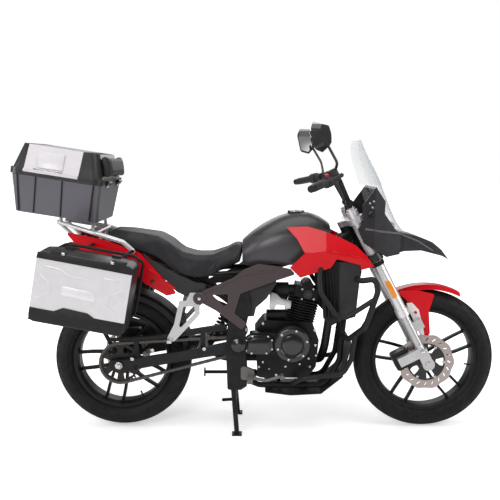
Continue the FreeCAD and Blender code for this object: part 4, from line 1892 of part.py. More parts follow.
def top_case():
    """Tub and lid that meet at a rim, hinged at the front under the backrest pads."""
    rim_from = -TOP_CASE_RIM_REAR
    rim_to = rim_from + TOP_CASE_RIM_LENGTH
    height = TOP_CASE_TUB_HEIGHT
    rim = (rim_from, rim_to, TOP_CASE_RIM_HALF_WIDTH)
    floor = (0, TOP_CASE_FLOOR_LENGTH, TOP_CASE_FLOOR_HALF_WIDTH, 0)
    tub = case_shell(floor, rim + (height,), TOP_CASE_CORNER, CASE_WALL, True)
    over = TOP_CASE_RIM_OVERHANG
    band = case_shell(
        (rim_from - over, rim_to + over, TOP_CASE_RIM_HALF_WIDTH + over, height - TOP_CASE_RIM_BAND),
        (rim_from - over, rim_to + over, TOP_CASE_RIM_HALF_WIDTH + over, height),
        TOP_CASE_CORNER + over, over + CASE_WALL / 2, True
    )
    tub = joined([tub, band.cut(case_inside(floor, rim + (height,), TOP_CASE_CORNER, CASE_WALL))])
    seam = height + LID_GAP
    top = (
        TOP_CASE_TOP_REAR, TOP_CASE_TOP_REAR + TOP_CASE_TOP_LENGTH, TOP_CASE_TOP_HALF_WIDTH,
        seam + TOP_CASE_LID_HEIGHT
    )
    lid = case_shell(rim + (seam,), top, TOP_CASE_CORNER, CASE_WALL, False)
    lid_band = case_shell(
        (rim_from - over, rim_to + over, TOP_CASE_RIM_HALF_WIDTH + over, seam),
        (rim_from - over, rim_to + over, TOP_CASE_RIM_HALF_WIDTH + over, seam + TOP_CASE_RIM_BAND),
        TOP_CASE_CORNER + over, over + CASE_WALL / 2, False
    )
    lid = joined([lid, lid_band.cut(case_inside(rim + (seam,), top, TOP_CASE_CORNER, CASE_WALL))])
    axis = Vector(rim_to + over + HINGE_OUT, 0, height + LID_GAP / 2)
    tub_pieces, lid_pieces, bores = [tub], [lid], []
    for side in (1, -1):
        fixed, barrel, bore = hinge(HINGE_LENGTH)
        centre = axis + Vector(0, side * TOP_CASE_RIM_HALF_WIDTH / 2, 0)
        turned_fixed = [moved(spun(piece, HALF_TURN / 2, Vector(), Z_AXIS), centre) for piece in fixed]
        lug_box = box(
            rim_to, axis.x, centre.y - HINGE_LENGTH / 2 - SEAT_GAP - HINGE_LUG,
            centre.y - HINGE_LENGTH / 2 - SEAT_GAP, height - TOP_CASE_RIM_BAND, height + LID_GAP / 2
        )
        lug_box_far = moved(lug_box, Vector(0, HINGE_LENGTH + SEAT_GAP * 2 + HINGE_LUG, 0))
        tub_pieces += turned_fixed + [lug_box, lug_box_far]
        leaf = box(rim_to, axis.x, centre.y - HINGE_LENGTH / 2, centre.y + HINGE_LENGTH / 2,
                   seam, seam + TOP_CASE_RIM_BAND / 2)
        lid_pieces += [moved(spun(barrel, HALF_TURN / 2, Vector(), Z_AXIS), centre), leaf]
        bores.append(moved(spun(bore, HALF_TURN / 2, Vector(), Z_AXIS), centre))
    for side in (1, -1):
        y = side * TOP_CASE_RIM_HALF_WIDTH / 2
        lid_pieces.append(
            box(
                rim_from - over - LATCH_DEPTH, rim_from - over, y - LATCH_WIDTH / 2,
                y + LATCH_WIDTH / 2, seam, seam + TOP_CASE_RIM_BAND
            )
        )
        tub_pieces.append(
            box(
                rim_from - over - LATCH_DEPTH, rim_from - over, y - LATCH_WIDTH / 2,
                y + LATCH_WIDTH / 2, height - TOP_CASE_RIM_BAND, height
            )
        )
    cleared = [
        rod(centre_from, centre_to, HINGE_BARREL_RADIUS + SIDE_PLAY) for centre_from,
        centre_to in [
            (
                axis + Vector(0, side * TOP_CASE_RIM_HALF_WIDTH / 2 - HINGE_LENGTH / 2 - SEAT_GAP, 0),
                axis + Vector(0, side * TOP_CASE_RIM_HALF_WIDTH / 2 + HINGE_LENGTH / 2 + SEAT_GAP, 0)
            ) for side in (1, -1)
        ]
    ]
    tub = joined([tub_pieces[0].cut(cleared)] + tub_pieces[1:])
    lid = joined(lid_pieces).cut(bores)
    front = [
        Vector(rim_to - CASE_WALL, 0, seam), Vector(top[1] - CASE_WALL, 0, top[3]),
    ]
    run = front[1] - front[0]
    outward = Vector(run.z, 0, -run.x).normalize()
    face = front[0] + Vector(CASE_WALL + SEAT_GAP, 0, 0)
    low, high = face + run * PAD_LOW_SHARE, face + run * PAD_HIGH_SHARE
    pad = slab(
        [low, high, high + outward * PAD_THICKNESS, low + outward * PAD_THICKNESS], -PAD_HALF_WIDTH,
        PAD_HALF_WIDTH, PAD_THICKNESS / 3
    )
    return {
        "top_case_tub": case_place(tub),
        "top_case_lid": case_place(lid),
        "backrest_pad": case_place(pad),
    }, case_point(axis.x, 0, axis.z)


def pannier_place(shape):
    return moved(spun(shape, PANNIER_TILT), Vector(PANNIER_X, 0, PANNIER_Z))


def pannier_rail_points():
    length, height = PANNIER_LENGTH, PANNIER_HEIGHT
    tilt = math.radians(PANNIER_TILT)
    points = []
    for along, up in PANNIER_RAIL_SHARES:
        x, z = along * length, up * height
        points.append(Vector(PANNIER_X + x * math.cos(tilt) + z * math.sin(tilt), PANNIER_RAIL_Y,
                             PANNIER_Z - x * math.sin(tilt) + z * math.cos(tilt)))
    return points


def pannier():
    """A side case on the left: tub against the rail, outer half hinged along its foot."""
    def half_shell(y_from, y_to, shrink_from, shrink_to, open_high):
        length, height = PANNIER_LENGTH / 2, PANNIER_HEIGHT / 2
        low = (shrink_from - length, length - shrink_from, height - shrink_from, y_from)
        high = (shrink_to - length, length - shrink_to, height - shrink_to, y_to)
        shell = case_shell(low, high, PANNIER_CORNER, CASE_WALL, open_high)
        return spun(shell, -HALF_TURN / 2, Vector(), X_AXIS)

    tub = half_shell(PANNIER_INNER_Y, PANNIER_SEAM_Y, PANNIER_INNER_SHRINK, 0, True)
    lid = half_shell(PANNIER_SEAM_Y + LID_GAP, PANNIER_OUTER_Y, 0, PANNIER_OUTER_SHRINK, False)
    foot = -PANNIER_HEIGHT / 2
    axis = Vector(0, PANNIER_SEAM_Y + LID_GAP / 2, foot - HINGE_OUT)
    tub_pieces, lid_pieces, bores = [tub], [lid], []
    for side in (1, -1):
        fixed, barrel, bore = hinge(HINGE_LENGTH)
        centre = axis + Vector(side * PANNIER_LENGTH / 4, 0, 0)
        tub_pieces += [moved(piece, centre) for piece in fixed]
        for start in (-HINGE_LENGTH / 2 - SEAT_GAP - HINGE_LUG, HINGE_LENGTH / 2 + SEAT_GAP):
            tub_pieces.append(
                box(
                    centre.x + start, centre.x + start + HINGE_LUG, PANNIER_SEAM_Y - PANNIER_RIM_BAND,
                    PANNIER_SEAM_Y, axis.z, foot + CASE_WALL / 2
                )
            )
        lid_pieces.append(moved(barrel, centre))
        lid_pieces.append(
            box(
                centre.x - HINGE_LENGTH / 2, centre.x + HINGE_LENGTH / 2, PANNIER_SEAM_Y + LID_GAP,
                PANNIER_SEAM_Y + LID_GAP + HINGE_BARREL_RADIUS, axis.z, foot + CASE_WALL / 2
            )
        )
        bores.append(moved(bore, centre))
    for side in (1, -1):
        x = side * PANNIER_LENGTH / 4
        top = PANNIER_HEIGHT / 2
        lid_pieces.append(
            box(
                x - LATCH_WIDTH / 2, x + LATCH_WIDTH / 2, PANNIER_SEAM_Y + LID_GAP,
                PANNIER_SEAM_Y + LID_GAP + LATCH_HEIGHT, top - CASE_WALL, top + LATCH_DEPTH
            )
        )
        tub_pieces.append(box(x - LATCH_WIDTH / 2, x + LATCH_WIDTH / 2, PANNIER_SEAM_Y - LATCH_HEIGHT / 2,
                              PANNIER_SEAM_Y, top - CASE_WALL, top + LATCH_DEPTH))
    hooks = []
    levels = [up * PANNIER_HEIGHT for along, up in PANNIER_RAIL_SHARES]
    for along in (HOOK_SHARE * PANNIER_LENGTH, -HOOK_SHARE * PANNIER_LENGTH):
        for rail_z, inward in ((max(levels), -HOOK_HEIGHT), (min(levels), HOOK_HEIGHT)):
            low, high = sorted((rail_z, rail_z + inward))
            hooks.append(box(along - HOOK_RADIUS, along + HOOK_RADIUS, PANNIER_RAIL_Y,
                             PANNIER_INNER_Y + CASE_WALL / 2, low, high))
    tub = joined(tub_pieces + hooks)
    lid = joined(lid_pieces).cut(bores)
    return pannier_place(tub), pannier_place(lid), axis


def pannier_rack(rack, subframe):
    """A loop of tube each side of the tail, braced to the seat rails and the grab rails."""
    points = pannier_rail_points()
    loop = ring_tube(points, PANNIER_RAIL_RADIUS, PANNIER_RAIL_BEND)
    top = points[1] + (points[2] - points[1]) * 0.12
    grab = rack_points(1)[0]
    rear = points[1] + (points[2] - points[1]) * 0.72
    braces = [rod(top, grab, PANNIER_RAIL_RADIUS), rod(rear, sub_at(rear.x), PANNIER_RAIL_RADIUS)]
    return largest(joined([loop] + braces).cut([rack, subframe]))


def arm_points():
    return [
        Vector(-ARM_REAR_REACH, 0, REAR_AXLE.z - ARM_AXLE_HALF_HEIGHT * 0.8),
        Vector(-ARM_REAR_REACH, 0, REAR_AXLE.z + ARM_AXLE_HALF_HEIGHT * 0.8),
        Vector(ARM_REAR_REACH, 0, REAR_AXLE.z + ARM_AXLE_HALF_HEIGHT),
        Vector(ARM_BEAM_X, 0, ARM_BEAM_Z + ARM_BEAM_HEIGHT / 2),
        Vector(PIVOT_X, 0, PIVOT_Z + ARM_PIVOT_HALF_HEIGHT),
        Vector(PIVOT_X, 0, PIVOT_Z - ARM_PIVOT_HALF_HEIGHT),
        Vector(ARM_BEAM_X, 0, ARM_BEAM_Z - ARM_BEAM_HEIGHT / 2),
        Vector(ARM_REAR_REACH, 0, REAR_AXLE.z - ARM_AXLE_HALF_HEIGHT)
    ]


def swingarm():
    """Two box arms, a beam ahead of the tyre, the pivot tube, the axle and its nuts."""
    outer = ARM_INNER + ARM_WALL
    arm = slab(arm_points(), ARM_INNER, outer, ARM_AXLE_HALF_HEIGHT / 2)
    boss = cross_rod(PIVOT_X, PIVOT_Z, ARM_INNER, outer + SEAT_GAP, ARM_PIVOT_HALF_HEIGHT)
    nut = cross_rod(0, REAR_AXLE.z, outer, outer + AXLE_NUT_LENGTH, AXLE_NUT_RADIUS)
    bobbin = cross_rod(
        BOBBIN_X, REAR_AXLE.z - BOBBIN_DROP, outer, outer + BOBBIN_DEPTH / 2, BOBBIN_RADIUS
    )
    side = joined([arm, boss, nut, bobbin])
    pieces = [side, mirrored(side)]
    pieces.append(
        box(
            ARM_BEAM_X - ARM_BEAM_LENGTH / 2, ARM_BEAM_X + ARM_BEAM_LENGTH / 2, -outer + ARM_WALL / 2,
            outer - ARM_WALL / 2, ARM_BEAM_Z - ARM_BEAM_HEIGHT / 2, ARM_BEAM_Z + ARM_BEAM_HEIGHT / 2
        )
    )
    pieces.append(cross_rod(PIVOT_X, PIVOT_Z, -ARM_INNER, ARM_INNER, PIVOT_TUBE_RADIUS))
    pieces.append(cross_rod(0, REAR_AXLE.z, -ARM_INNER, ARM_INNER, REAR_AXLE_RADIUS))
    hub_right = CHAIN_PLANE + SPROCKET_THICKNESS / 2 - SIDE_PLAY
    pieces.append(cross_rod(0, REAR_AXLE.z, -ARM_INNER, hub_right, AXLE_SPACER_RADIUS))
    hub_left = REAR_DISC_PLANE + FRONT_CARRIER_THICKNESS / 2 + SIDE_PLAY
    pieces.append(cross_rod(0, REAR_AXLE.z, hub_left, ARM_INNER, AXLE_SPACER_RADIUS))
    ear = slab(
        [
            Vector(ARM_BEAM_X, 0, ARM_BEAM_Z),
            Vector(SHOCK_FOOT_X - SHOCK_BODY_RADIUS, 0, SHOCK_FOOT_Z + SHOCK_BODY_RADIUS / 2),
            Vector(SHOCK_FOOT_X + SHOCK_BODY_RADIUS, 0, SHOCK_FOOT_Z + SHOCK_BODY_RADIUS / 2),
            Vector(ARM_BEAM_X + ARM_BEAM_LENGTH / 2, 0, ARM_BEAM_Z - ARM_BEAM_HEIGHT / 4)
        ], SPRING_RADIUS, SPRING_RADIUS + RIM_WALL
    )
    pieces += [
        ear, mirrored(ear),
        cross_rod(SHOCK_FOOT_X, SHOCK_FOOT_Z, -SPRING_RADIUS, SPRING_RADIUS, PIVOT_PIN_RADIUS / 2)
    ]
    body = joined(pieces)
    cuts = [cross_rod(PIVOT_X, PIVOT_Z, -outer * 2, outer * 2, PIVOT_PIN_RADIUS + RUNNING_GAP)]
    for side in (1, -1):
        mouth = side * (outer + BOBBIN_DEPTH / 2)
        foot = side * (outer + BOBBIN_DEPTH / 2 - BOBBIN_DEPTH)
        low, high = sorted((mouth + side * CUT_OVERRUN, foot))
        cuts.append(cross_rod(BOBBIN_X, REAR_AXLE.z - BOBBIN_DROP, low, high, BOBBIN_HOLE_RADIUS))
    return body.cut(cuts)


def rear_caliper():
    """The brake block astride the rear disc, held by a lug on the left arm."""
    block = slab(
        [
            Vector(0, 0, 0), Vector(REAR_CALIPER_LENGTH, 0, 0),
            Vector(REAR_CALIPER_LENGTH, 0, REAR_CALIPER_HEIGHT), Vector(0, 0, REAR_CALIPER_HEIGHT)
        ], REAR_CALIPER_INNER, ARM_INNER - SEAT_GAP, REAR_CALIPER_HEIGHT / 4
    )
    block = moved(block, REAR_AXLE + Vector(-REAR_CALIPER_LENGTH / 4, 0, REAR_CALIPER_RISE))
    gap = FRONT_CARRIER_THICKNESS / 2 + CALIPER_SLOT_GAP
    slot = cross_rod(
        0, REAR_AXLE.z, REAR_DISC_PLANE - gap, REAR_DISC_PLANE + gap, REAR_DISC_RADIUS + CUT_OVERRUN
    )
    hanger = slab(
        [
            Vector(0, 0, REAR_AXLE.z + AXLE_SPACER_RADIUS + SIDE_PLAY),
            Vector(REAR_CALIPER_LENGTH / 2, 0, REAR_AXLE.z + AXLE_SPACER_RADIUS + SIDE_PLAY),
            Vector(REAR_CALIPER_LENGTH / 2, 0, REAR_AXLE.z + REAR_CALIPER_RISE + CUT_OVERRUN),
            Vector(0, 0, REAR_AXLE.z + REAR_CALIPER_RISE + CUT_OVERRUN)
        ], ARM_INNER - SIDE_PLAY * 9, ARM_INNER - SEAT_GAP
    )
    return {"rear_caliper": joined([block.cut(slot), hanger])}


def chain_pins():
    """Pin places along the upper and the lower half, from the rear of the big sprocket."""
    rear, front = pitch_radius(REAR_TEETH), pitch_radius(FRONT_TEETH)
    start = Vector(0, 0, REAR_AXLE.z)
    end = Vector(FRONT_SPROCKET_X, 0, FRONT_SPROCKET_Z)
    span = end - start
    slope = math.atan2(span.z, span.x)
    pinch = math.asin((rear - front) / span.Length)
    halves = []
    for side in (1, -1):
        lift = slope + side * (math.pi / 2 - pinch)
        rear_turn = abs(math.pi - lift) if side > 0 else abs(math.pi + lift)
        straight = span.Length * math.cos(pinch)
        along = (start + Vector(math.cos(lift), 0, math.sin(lift)) * rear)
        ahead = (end + Vector(math.cos(lift), 0, math.sin(lift)) * front - along).normalize()
        total = rear * rear_turn + straight - CHAIN_PITCH * 2
        points = []
        for index in range(int(total / CHAIN_PITCH) + 1):
            travel = index * CHAIN_PITCH
            if travel <= rear * rear_turn:
                angle = math.pi - side * travel / rear
                points.append(start + Vector(math.cos(angle), 0, math.sin(angle)) * rear)
            else:
                points.append(along + ahead * (travel - rear * rear_turn))
        halves.append(points)
    return halves


def link_plate(first, second, y_from):
    """One pointed side plate between two pins."""
    run = (second - first).normalize()
    rise = Vector(-run.z, 0, run.x) * (CHAIN_PLATE_HEIGHT / 2)
    tip = run * (CHAIN_PLATE_HEIGHT / 2)
    points = [first - tip, first - rise, second - rise, second + tip, second + rise, first + rise]
    return slab(points, y_from, y_from + CHAIN_PLATE)


def drive_chain():
    """A roller chain of inner and outer links, in mesh with both sprockets."""
    upper, lower = chain_pins()
    pins = list(reversed(lower[1:])) + upper
    pieces = []
    for index, pin in enumerate(pins):
        middle = CHAIN_PLANE
        pieces.append(
            Part.makeCylinder(
                CHAIN_PITCH * 0.26, CHAIN_HALF_WIDTH * 2,
                Vector(pin.x, middle - CHAIN_HALF_WIDTH, pin.z), Y_AXIS
            )
        )
        if index + 1 < len(pins):
            offset = CHAIN_HALF_WIDTH - CHAIN_PLATE * (1.2 if index % 2 else 2.3)
            pieces.append(link_plate(pin, pins[index + 1], middle + offset))
            pieces.append(link_plate(pin, pins[index + 1], middle - offset - CHAIN_PLATE))
    return {"drive_chain": pieces[0].fuse(pieces[1:])}


def chain_guard(arm):
    """An angled cover over the upper run of the chain, on two tabs to the arm."""
    side = place(GUARD_SHARES, GUARD_REAR_X, GUARD_LOW_Z, GUARD_LENGTH, GUARD_HEIGHT)
    outer = slab(side, -GUARD_OUTER, -GUARD_INNER)
    lowered = [point - Vector(0, 0, GUARD_WALL) for point in side[:3]] + [
        point - Vector(0, 0, GUARD_HEIGHT) for point in side[3:]
    ]
    hollow = slab(lowered, -GUARD_OUTER + GUARD_WALL, -GUARD_INNER + CUT_OVERRUN)
    shell = outer.cut(hollow)
    tab_z = ARM_BEAM_Z + ARM_BEAM_HEIGHT / 2
    tabs = []
    for x, low, share in ((ARM_BEAM_X, tab_z - GUARD_WALL, 0.78),
                          (BOBBIN_X, REAR_AXLE.z + ARM_AXLE_HALF_HEIGHT - GUARD_WALL, 0.23)):
        high = GUARD_LOW_Z + GUARD_HEIGHT * share
        tabs.append(
            box(
                x - GUARD_OUTER / 10, x + GUARD_OUTER / 10, -ARM_INNER + SEAT_GAP,
                -ARM_INNER + SEAT_GAP + GUARD_WALL, low, high
            )
        )
    return largest(joined([shell] + tabs).cut(arm))


def rear_hugger():
    """A splash guard close over the front of the rear tyre, on tabs to the arms."""
    inner = REAR_TYRE_RADIUS + HUGGER_GAP
    half = HUGGER_HALF_WIDTH
    profile = [
        (inner - HUGGER_LIP, -half), (inner - HUGGER_LIP / 4, -half),
        (inner + HUGGER_WALL, -half * 0.8), (inner + HUGGER_WALL, half * 0.8),
        (inner - HUGGER_LIP / 4, half), (inner - HUGGER_LIP, half),
        (inner - HUGGER_LIP, half - HUGGER_WALL), (inner - HUGGER_LIP / 4, half - HUGGER_WALL),
        (inner, half * 0.78), (inner, -half * 0.78), (inner - HUGGER_LIP / 4, HUGGER_WALL - half),
        (inner - HUGGER_LIP, HUGGER_WALL - half)
    ]
    corners = [Vector(radius, y, 0) for radius, y in profile]
    face = Part.Face(Part.makePolygon(corners + corners[:1]))
    arc = face.revolve(Vector(), Y_AXIS, -(HUGGER_REAR_ANGLE - HUGGER_FRONT_ANGLE))
    shell = moved(spun(arc, -HUGGER_FRONT_ANGLE), REAR_AXLE)
    angle = math.radians(HUGGER_FRONT_ANGLE * 1.4)
    tab_x = (inner - HUGGER_LIP / 2) * math.cos(angle)
    tab_z = REAR_AXLE.z + (inner - HUGGER_LIP / 2) * math.sin(angle)
    pieces = [shell]
    for side in (1, -1):
        low, high = sorted((side * (half - HUGGER_WALL / 2), side * (ARM_INNER - SEAT_GAP)))
        pieces.append(
            box(
                tab_x - HUGGER_LIP / 4, tab_x + HUGGER_LIP / 4, low, high, tab_z - HUGGER_LIP * 1.6,
                tab_z - HUGGER_LIP * 1.6 + HUGGER_WALL
            )
        )
        low, high = sorted((side * (half - HUGGER_WALL), side * half))
        pieces.append(
            box(
                tab_x - HUGGER_LIP / 4, tab_x + HUGGER_LIP / 4, low, high, tab_z - HUGGER_LIP * 1.6,
                tab_z
            )
        )
    return {"rear_hugger": joined(pieces)}


def rear_shock():
    """One damper with its coil spring, between frame and swingarm."""
    top = Vector(SHOCK_TOP_X, 0, SHOCK_TOP_Z)
    foot = Vector(SHOCK_FOOT_X, 0, SHOCK_FOOT_Z)
    length = (top - foot).Length
    lean = math.degrees(math.atan2(top.x - foot.x, top.z - foot.z))
    body = Part.makeCylinder(SHOCK_BODY_RADIUS, length * 0.56, Vector(0, 0, length * 0.4), Z_AXIS)
    shaft = Part.makeCylinder(SHOCK_BODY_RADIUS / 2, length * 0.45, Vector(0, 0, 0), Z_AXIS)
    seats = [Part.makeCylinder(SPRING_RADIUS - SEAT_GAP, SPRING_WIRE_RADIUS, Vector(0, 0, z), Z_AXIS)
             for z in (length * 0.1, length * 0.1 + SPRING_LENGTH + SPRING_WIRE_RADIUS)]
    helix = Part.makeHelix(
        SPRING_LENGTH / SPRING_TURNS, SPRING_LENGTH, SPRING_RADIUS - SPRING_WIRE_RADIUS - SEAT_GAP * 2
    )
    ring = Part.Wire(
        Part.makeCircle(
            SPRING_WIRE_RADIUS, Vector(SPRING_RADIUS - SPRING_WIRE_RADIUS - SEAT_GAP * 2, 0, 0), Y_AXIS
        )
    )
    coil = Part.Wire(helix.Edges).makePipeShell([ring], True, True)
    coil = moved(coil, Vector(0, 0, length * 0.1 + SPRING_WIRE_RADIUS / 2))
    eyes = [
        cross_rod(0, z, -SHOCK_BODY_RADIUS, SHOCK_BODY_RADIUS, SHOCK_BODY_RADIUS * 0.8)
        for z in (0, length)
    ]
    holes = [
        cross_rod(0, z, -SPRING_RADIUS, SPRING_RADIUS, PIVOT_PIN_RADIUS / 2 + SEAT_GAP)
        for z in (0, length)
    ]
    shape = joined([body, shaft, coil] + seats + eyes).cut(holes)
    return {"rear_shock": moved(spun(shape, lean), foot)}


def crash_bar(frame):
    """Tubes around the left side of the engine, bent inward to the frame at their ends."""
    top, knee = cradle_points(1)[0], cradle_points(1)[1]

    def beside(z):
        share = (z - knee.z) / (top.z - knee.z)
        return Vector(
            knee.x + share * (top.x - knee.x),
            knee.y + share * (top.y - knee.y) + CRADLE_RADIUS + SEAT_GAP, z
        )

    upper_end, middle_end = beside(BAR_GUARD_UPPER.z), beside(BAR_GUARD_LOWER.z)
    outer = [upper_end] + BAR_GUARD_PATH + [middle_end]
    loop = tube(outer, BAR_GUARD_RADIUS, BAR_GUARD_BEND)
    brace = tube(BAR_GUARD_BRACE, BAR_GUARD_RADIUS * 0.88, BAR_GUARD_BEND)
    nose = BAR_GUARD_FOOT
    low = tube(nose, BAR_GUARD_RADIUS * 0.88, BAR_GUARD_BEND)
    return largest(joined([loop, brace, low]).cut(frame))


def bash_plate(frame):
    """A folded guard under the engine and up in front of it, on posts to the cradle."""
    line = place(BASH_SHARES, BASH_REAR_X, BASH_LOW_Z, BASH_LENGTH, BASH_HEIGHT)
    plate = slab(folded(line, BASH_WALL), -BASH_HALF_WIDTH, BASH_HALF_WIDTH)
    nose, knee = cradle_points(1)[0], cradle_points(1)[1]
    tube_at = knee + (nose - knee) * ((BASH_TOP_Z - knee.z) / (nose.z - knee.z))
    posts = [rod(tube_at, Vector(line[3].x - BASH_WALL, tube_at.y, tube_at.z), BASH_POST_RADIUS)]
    for share in BASH_POST_SHARES:
        foot = line[0] + (line[1] - line[0]) * share + Vector(0, CRADLE_SPREAD, BASH_WALL / 2)
        posts.append(rod(foot, Vector(foot.x, foot.y, CRADLE_LOW_Z), BASH_POST_RADIUS))
    posts += [mirrored(post) for post in posts]
    return largest(joined([plate] + posts).cut(frame))


def rider_pegs():
    """Foot pegs on brackets outside the pivot plates, with the brake and gear pedals."""
    inner = PLATE_OUTER + SEAT_GAP
    plate = slab(
        [
            Vector(PEG_X - PEG_RADIUS * 3.4, 0, PEG_Z - PEG_RADIUS * 1.5),
            Vector(PEG_X + PEG_RADIUS * 1.6, 0, PEG_Z - PEG_RADIUS * 1.5),
            Vector(PEG_X + PEG_RADIUS * 1.6, 0, PEG_Z + PEG_RADIUS * 2),
            Vector(PEG_X - PEG_RADIUS * 3.4, 0, PEG_Z + PEG_RADIUS * 4)
        ], inner, inner + PEG_PLATE_WALL, PEG_RADIUS
    )
    peg = box(
        PEG_X - PEG_RADIUS, PEG_X + PEG_RADIUS, inner + PEG_PLATE_WALL / 2, inner + PEG_LENGTH,
        PEG_Z - PEG_RADIUS, PEG_Z + PEG_RADIUS / 2
    )
    y = inner + PEG_PLATE_WALL + PEG_RADIUS * 0.7
    pedal = tube(
        [
            Vector(PEG_X + PEG_RADIUS, y, PEG_Z - PEG_RADIUS / 2),
            Vector(PEG_X + PEDAL_LENGTH / 2, y, PEG_Z - PEG_RADIUS * 1.6),
            Vector(PEG_X + PEDAL_LENGTH, y + PEG_RADIUS, PEG_Z + PEG_RADIUS / 2)
        ], PEG_RADIUS * 0.6, PEDAL_LENGTH / 3
    )
    pad = cross_rod(PEG_X + PEDAL_LENGTH, PEG_Z + PEG_RADIUS / 2, y, y + PEG_RADIUS * 3, PEG_RADIUS * 0.8)
    return {"rider_pegs": both_sides(joined([plate, peg, pedal, pad]))}


def passenger_hanger():
    """Cast bracket for the left passenger peg, hung from the seat stay."""
    side = place(HANGER_SHARES, HANGER_REAR_X, HANGER_LOW_Z, HANGER_LENGTH, HANGER_HEIGHT)
    window = place(HANGER_WINDOW_SHARES, HANGER_REAR_X, HANGER_LOW_Z, HANGER_LENGTH, HANGER_HEIGHT)
    outer = HANGER_INNER + HANGER_WALL
    plate = slab(side, HANGER_INNER, outer, HANGER_WALL)
    plate = plate.cut(slab(window, HANGER_INNER - CUT_OVERRUN, outer + CUT_OVERRUN, HANGER_WALL))
    spacer = cross_rod(
        STAY_KNEE_X - CROSS_TUBE_RADIUS, STAY_KNEE_Z - SUB_RADIUS / 2, STAY_OUT + SUB_RADIUS + SEAT_GAP,
        HANGER_INNER + HANGER_WALL / 2, SUB_RADIUS
    )
    peg_z = HANGER_LOW_Z + HANGER_HEIGHT * 0.11
    peg_x = HANGER_REAR_X + HANGER_LENGTH * 0.14
    peg = box(
        peg_x - PEG_RADIUS * 0.8, peg_x + PEG_RADIUS * 0.8, outer - HANGER_WALL / 2,
        outer + PASSENGER_PEG_LENGTH, peg_z - PEG_RADIUS, peg_z
    )
    return joined([plate, spacer, peg])


def centre_stand():
    """Two splayed legs with feet, a cross tube and pivot bosses on the frame's studs."""
    boss = cross_rod(
        STAND_PIVOT_X, STAND_PIVOT_Z, STAND_BOSS_INNER + SEAT_GAP, STAND_BOSS_OUTER, STAND_BOSS_RADIUS
    )
    top = Vector(STAND_PIVOT_X, (STAND_BOSS_INNER + STAND_BOSS_OUTER) / 2, STAND_PIVOT_Z)
    foot = Vector(STAND_PIVOT_X + STAND_FOOT_FORWARD, STAND_FOOT_OUT, STAND_FOOT_THICKNESS / 2)
    leg = rod(top, foot, STAND_TUBE_RADIUS)
    sole = slab(
        [
            Vector(foot.x - STAND_FOOT_LENGTH / 2, 0, 0), Vector(foot.x + STAND_FOOT_LENGTH / 2, 0, 0),
            Vector(foot.x + STAND_FOOT_LENGTH / 2, 0, STAND_FOOT_THICKNESS),
            Vector(foot.x - STAND_FOOT_LENGTH / 2, 0, STAND_FOOT_THICKNESS)
        ], STAND_FOOT_OUT - STAND_FOOT_WIDTH / 2, STAND_FOOT_OUT + STAND_FOOT_WIDTH / 2
    )
    below = box(
        STAND_PIVOT_X - STAND_FOOT_LENGTH, STAND_PIVOT_X + STAND_FOOT_LENGTH, 0, STAND_FOOT_OUT * 2,
        -STAND_PIVOT_Z, 0
    )
    side = joined([boss, leg.cut(below), sole])
    share = 0.42
    cross = top + (foot - top) * share
    bar = cross_rod(cross.x, cross.z, -cross.y, cross.y, STAND_TUBE_RADIUS * 0.9)
    lever = rod(
        top + (foot - top) * 0.7,
        Vector(
            STAND_PIVOT_X - STAND_FOOT_LENGTH * 1.3, STAND_FOOT_OUT + STAND_FOOT_WIDTH * 0.9,
            STAND_FOOT_OUT * 0.42
        ), STAND_TUBE_RADIUS * 0.7
    )
    bore = cross_rod(
        STAND_PIVOT_X, STAND_PIVOT_Z, -STAND_BOSS_OUTER * 2, STAND_BOSS_OUTER * 2,
        STAND_PIN_RADIUS + RUNNING_GAP
    )
    return {"centre_stand": joined([side, mirrored(side), bar, lever]).cut(bore)}


def side_stand():
    """One leg folded back along the left side, on a slanted pivot."""
    half = SIDE_STAND_RADIUS * 0.8
    boss = rod(side_stand_point(-half), side_stand_point(half), SIDE_STAND_RADIUS * 1.5)
    start = side_stand_point(0)
    end = start - X_AXIS * SIDE_STAND_LENGTH
    leg = rod(start, end, SIDE_STAND_RADIUS * 0.8)
    sole = Part.makeCylinder(SIDE_STAND_FOOT, SIDE_STAND_RADIUS * 0.6, end, -X_AXIS)
    bore = rod(
        side_stand_point(-half * 3), side_stand_point(half * 3), SIDE_STAND_RADIUS / 2 + RUNNING_GAP
    )
    return {"side_stand": joined([boss, leg, sole]).cut(bore)}


def export(nodes):
    """Moves every node to the middle of the machine's length and writes it."""
    os.makedirs("parts", exist_ok=True)
    low_x = nodes["top_case_tub"].optimalBoundingBox().XMin
    offset = Vector(-(low_x + WHEELBASE + FRONT_TYRE_RADIUS) / 2, 0, 0)
    for name, shape in nodes.items():
        moved(shape, offset).exportStep(f"parts/{name}.step")
    return offset


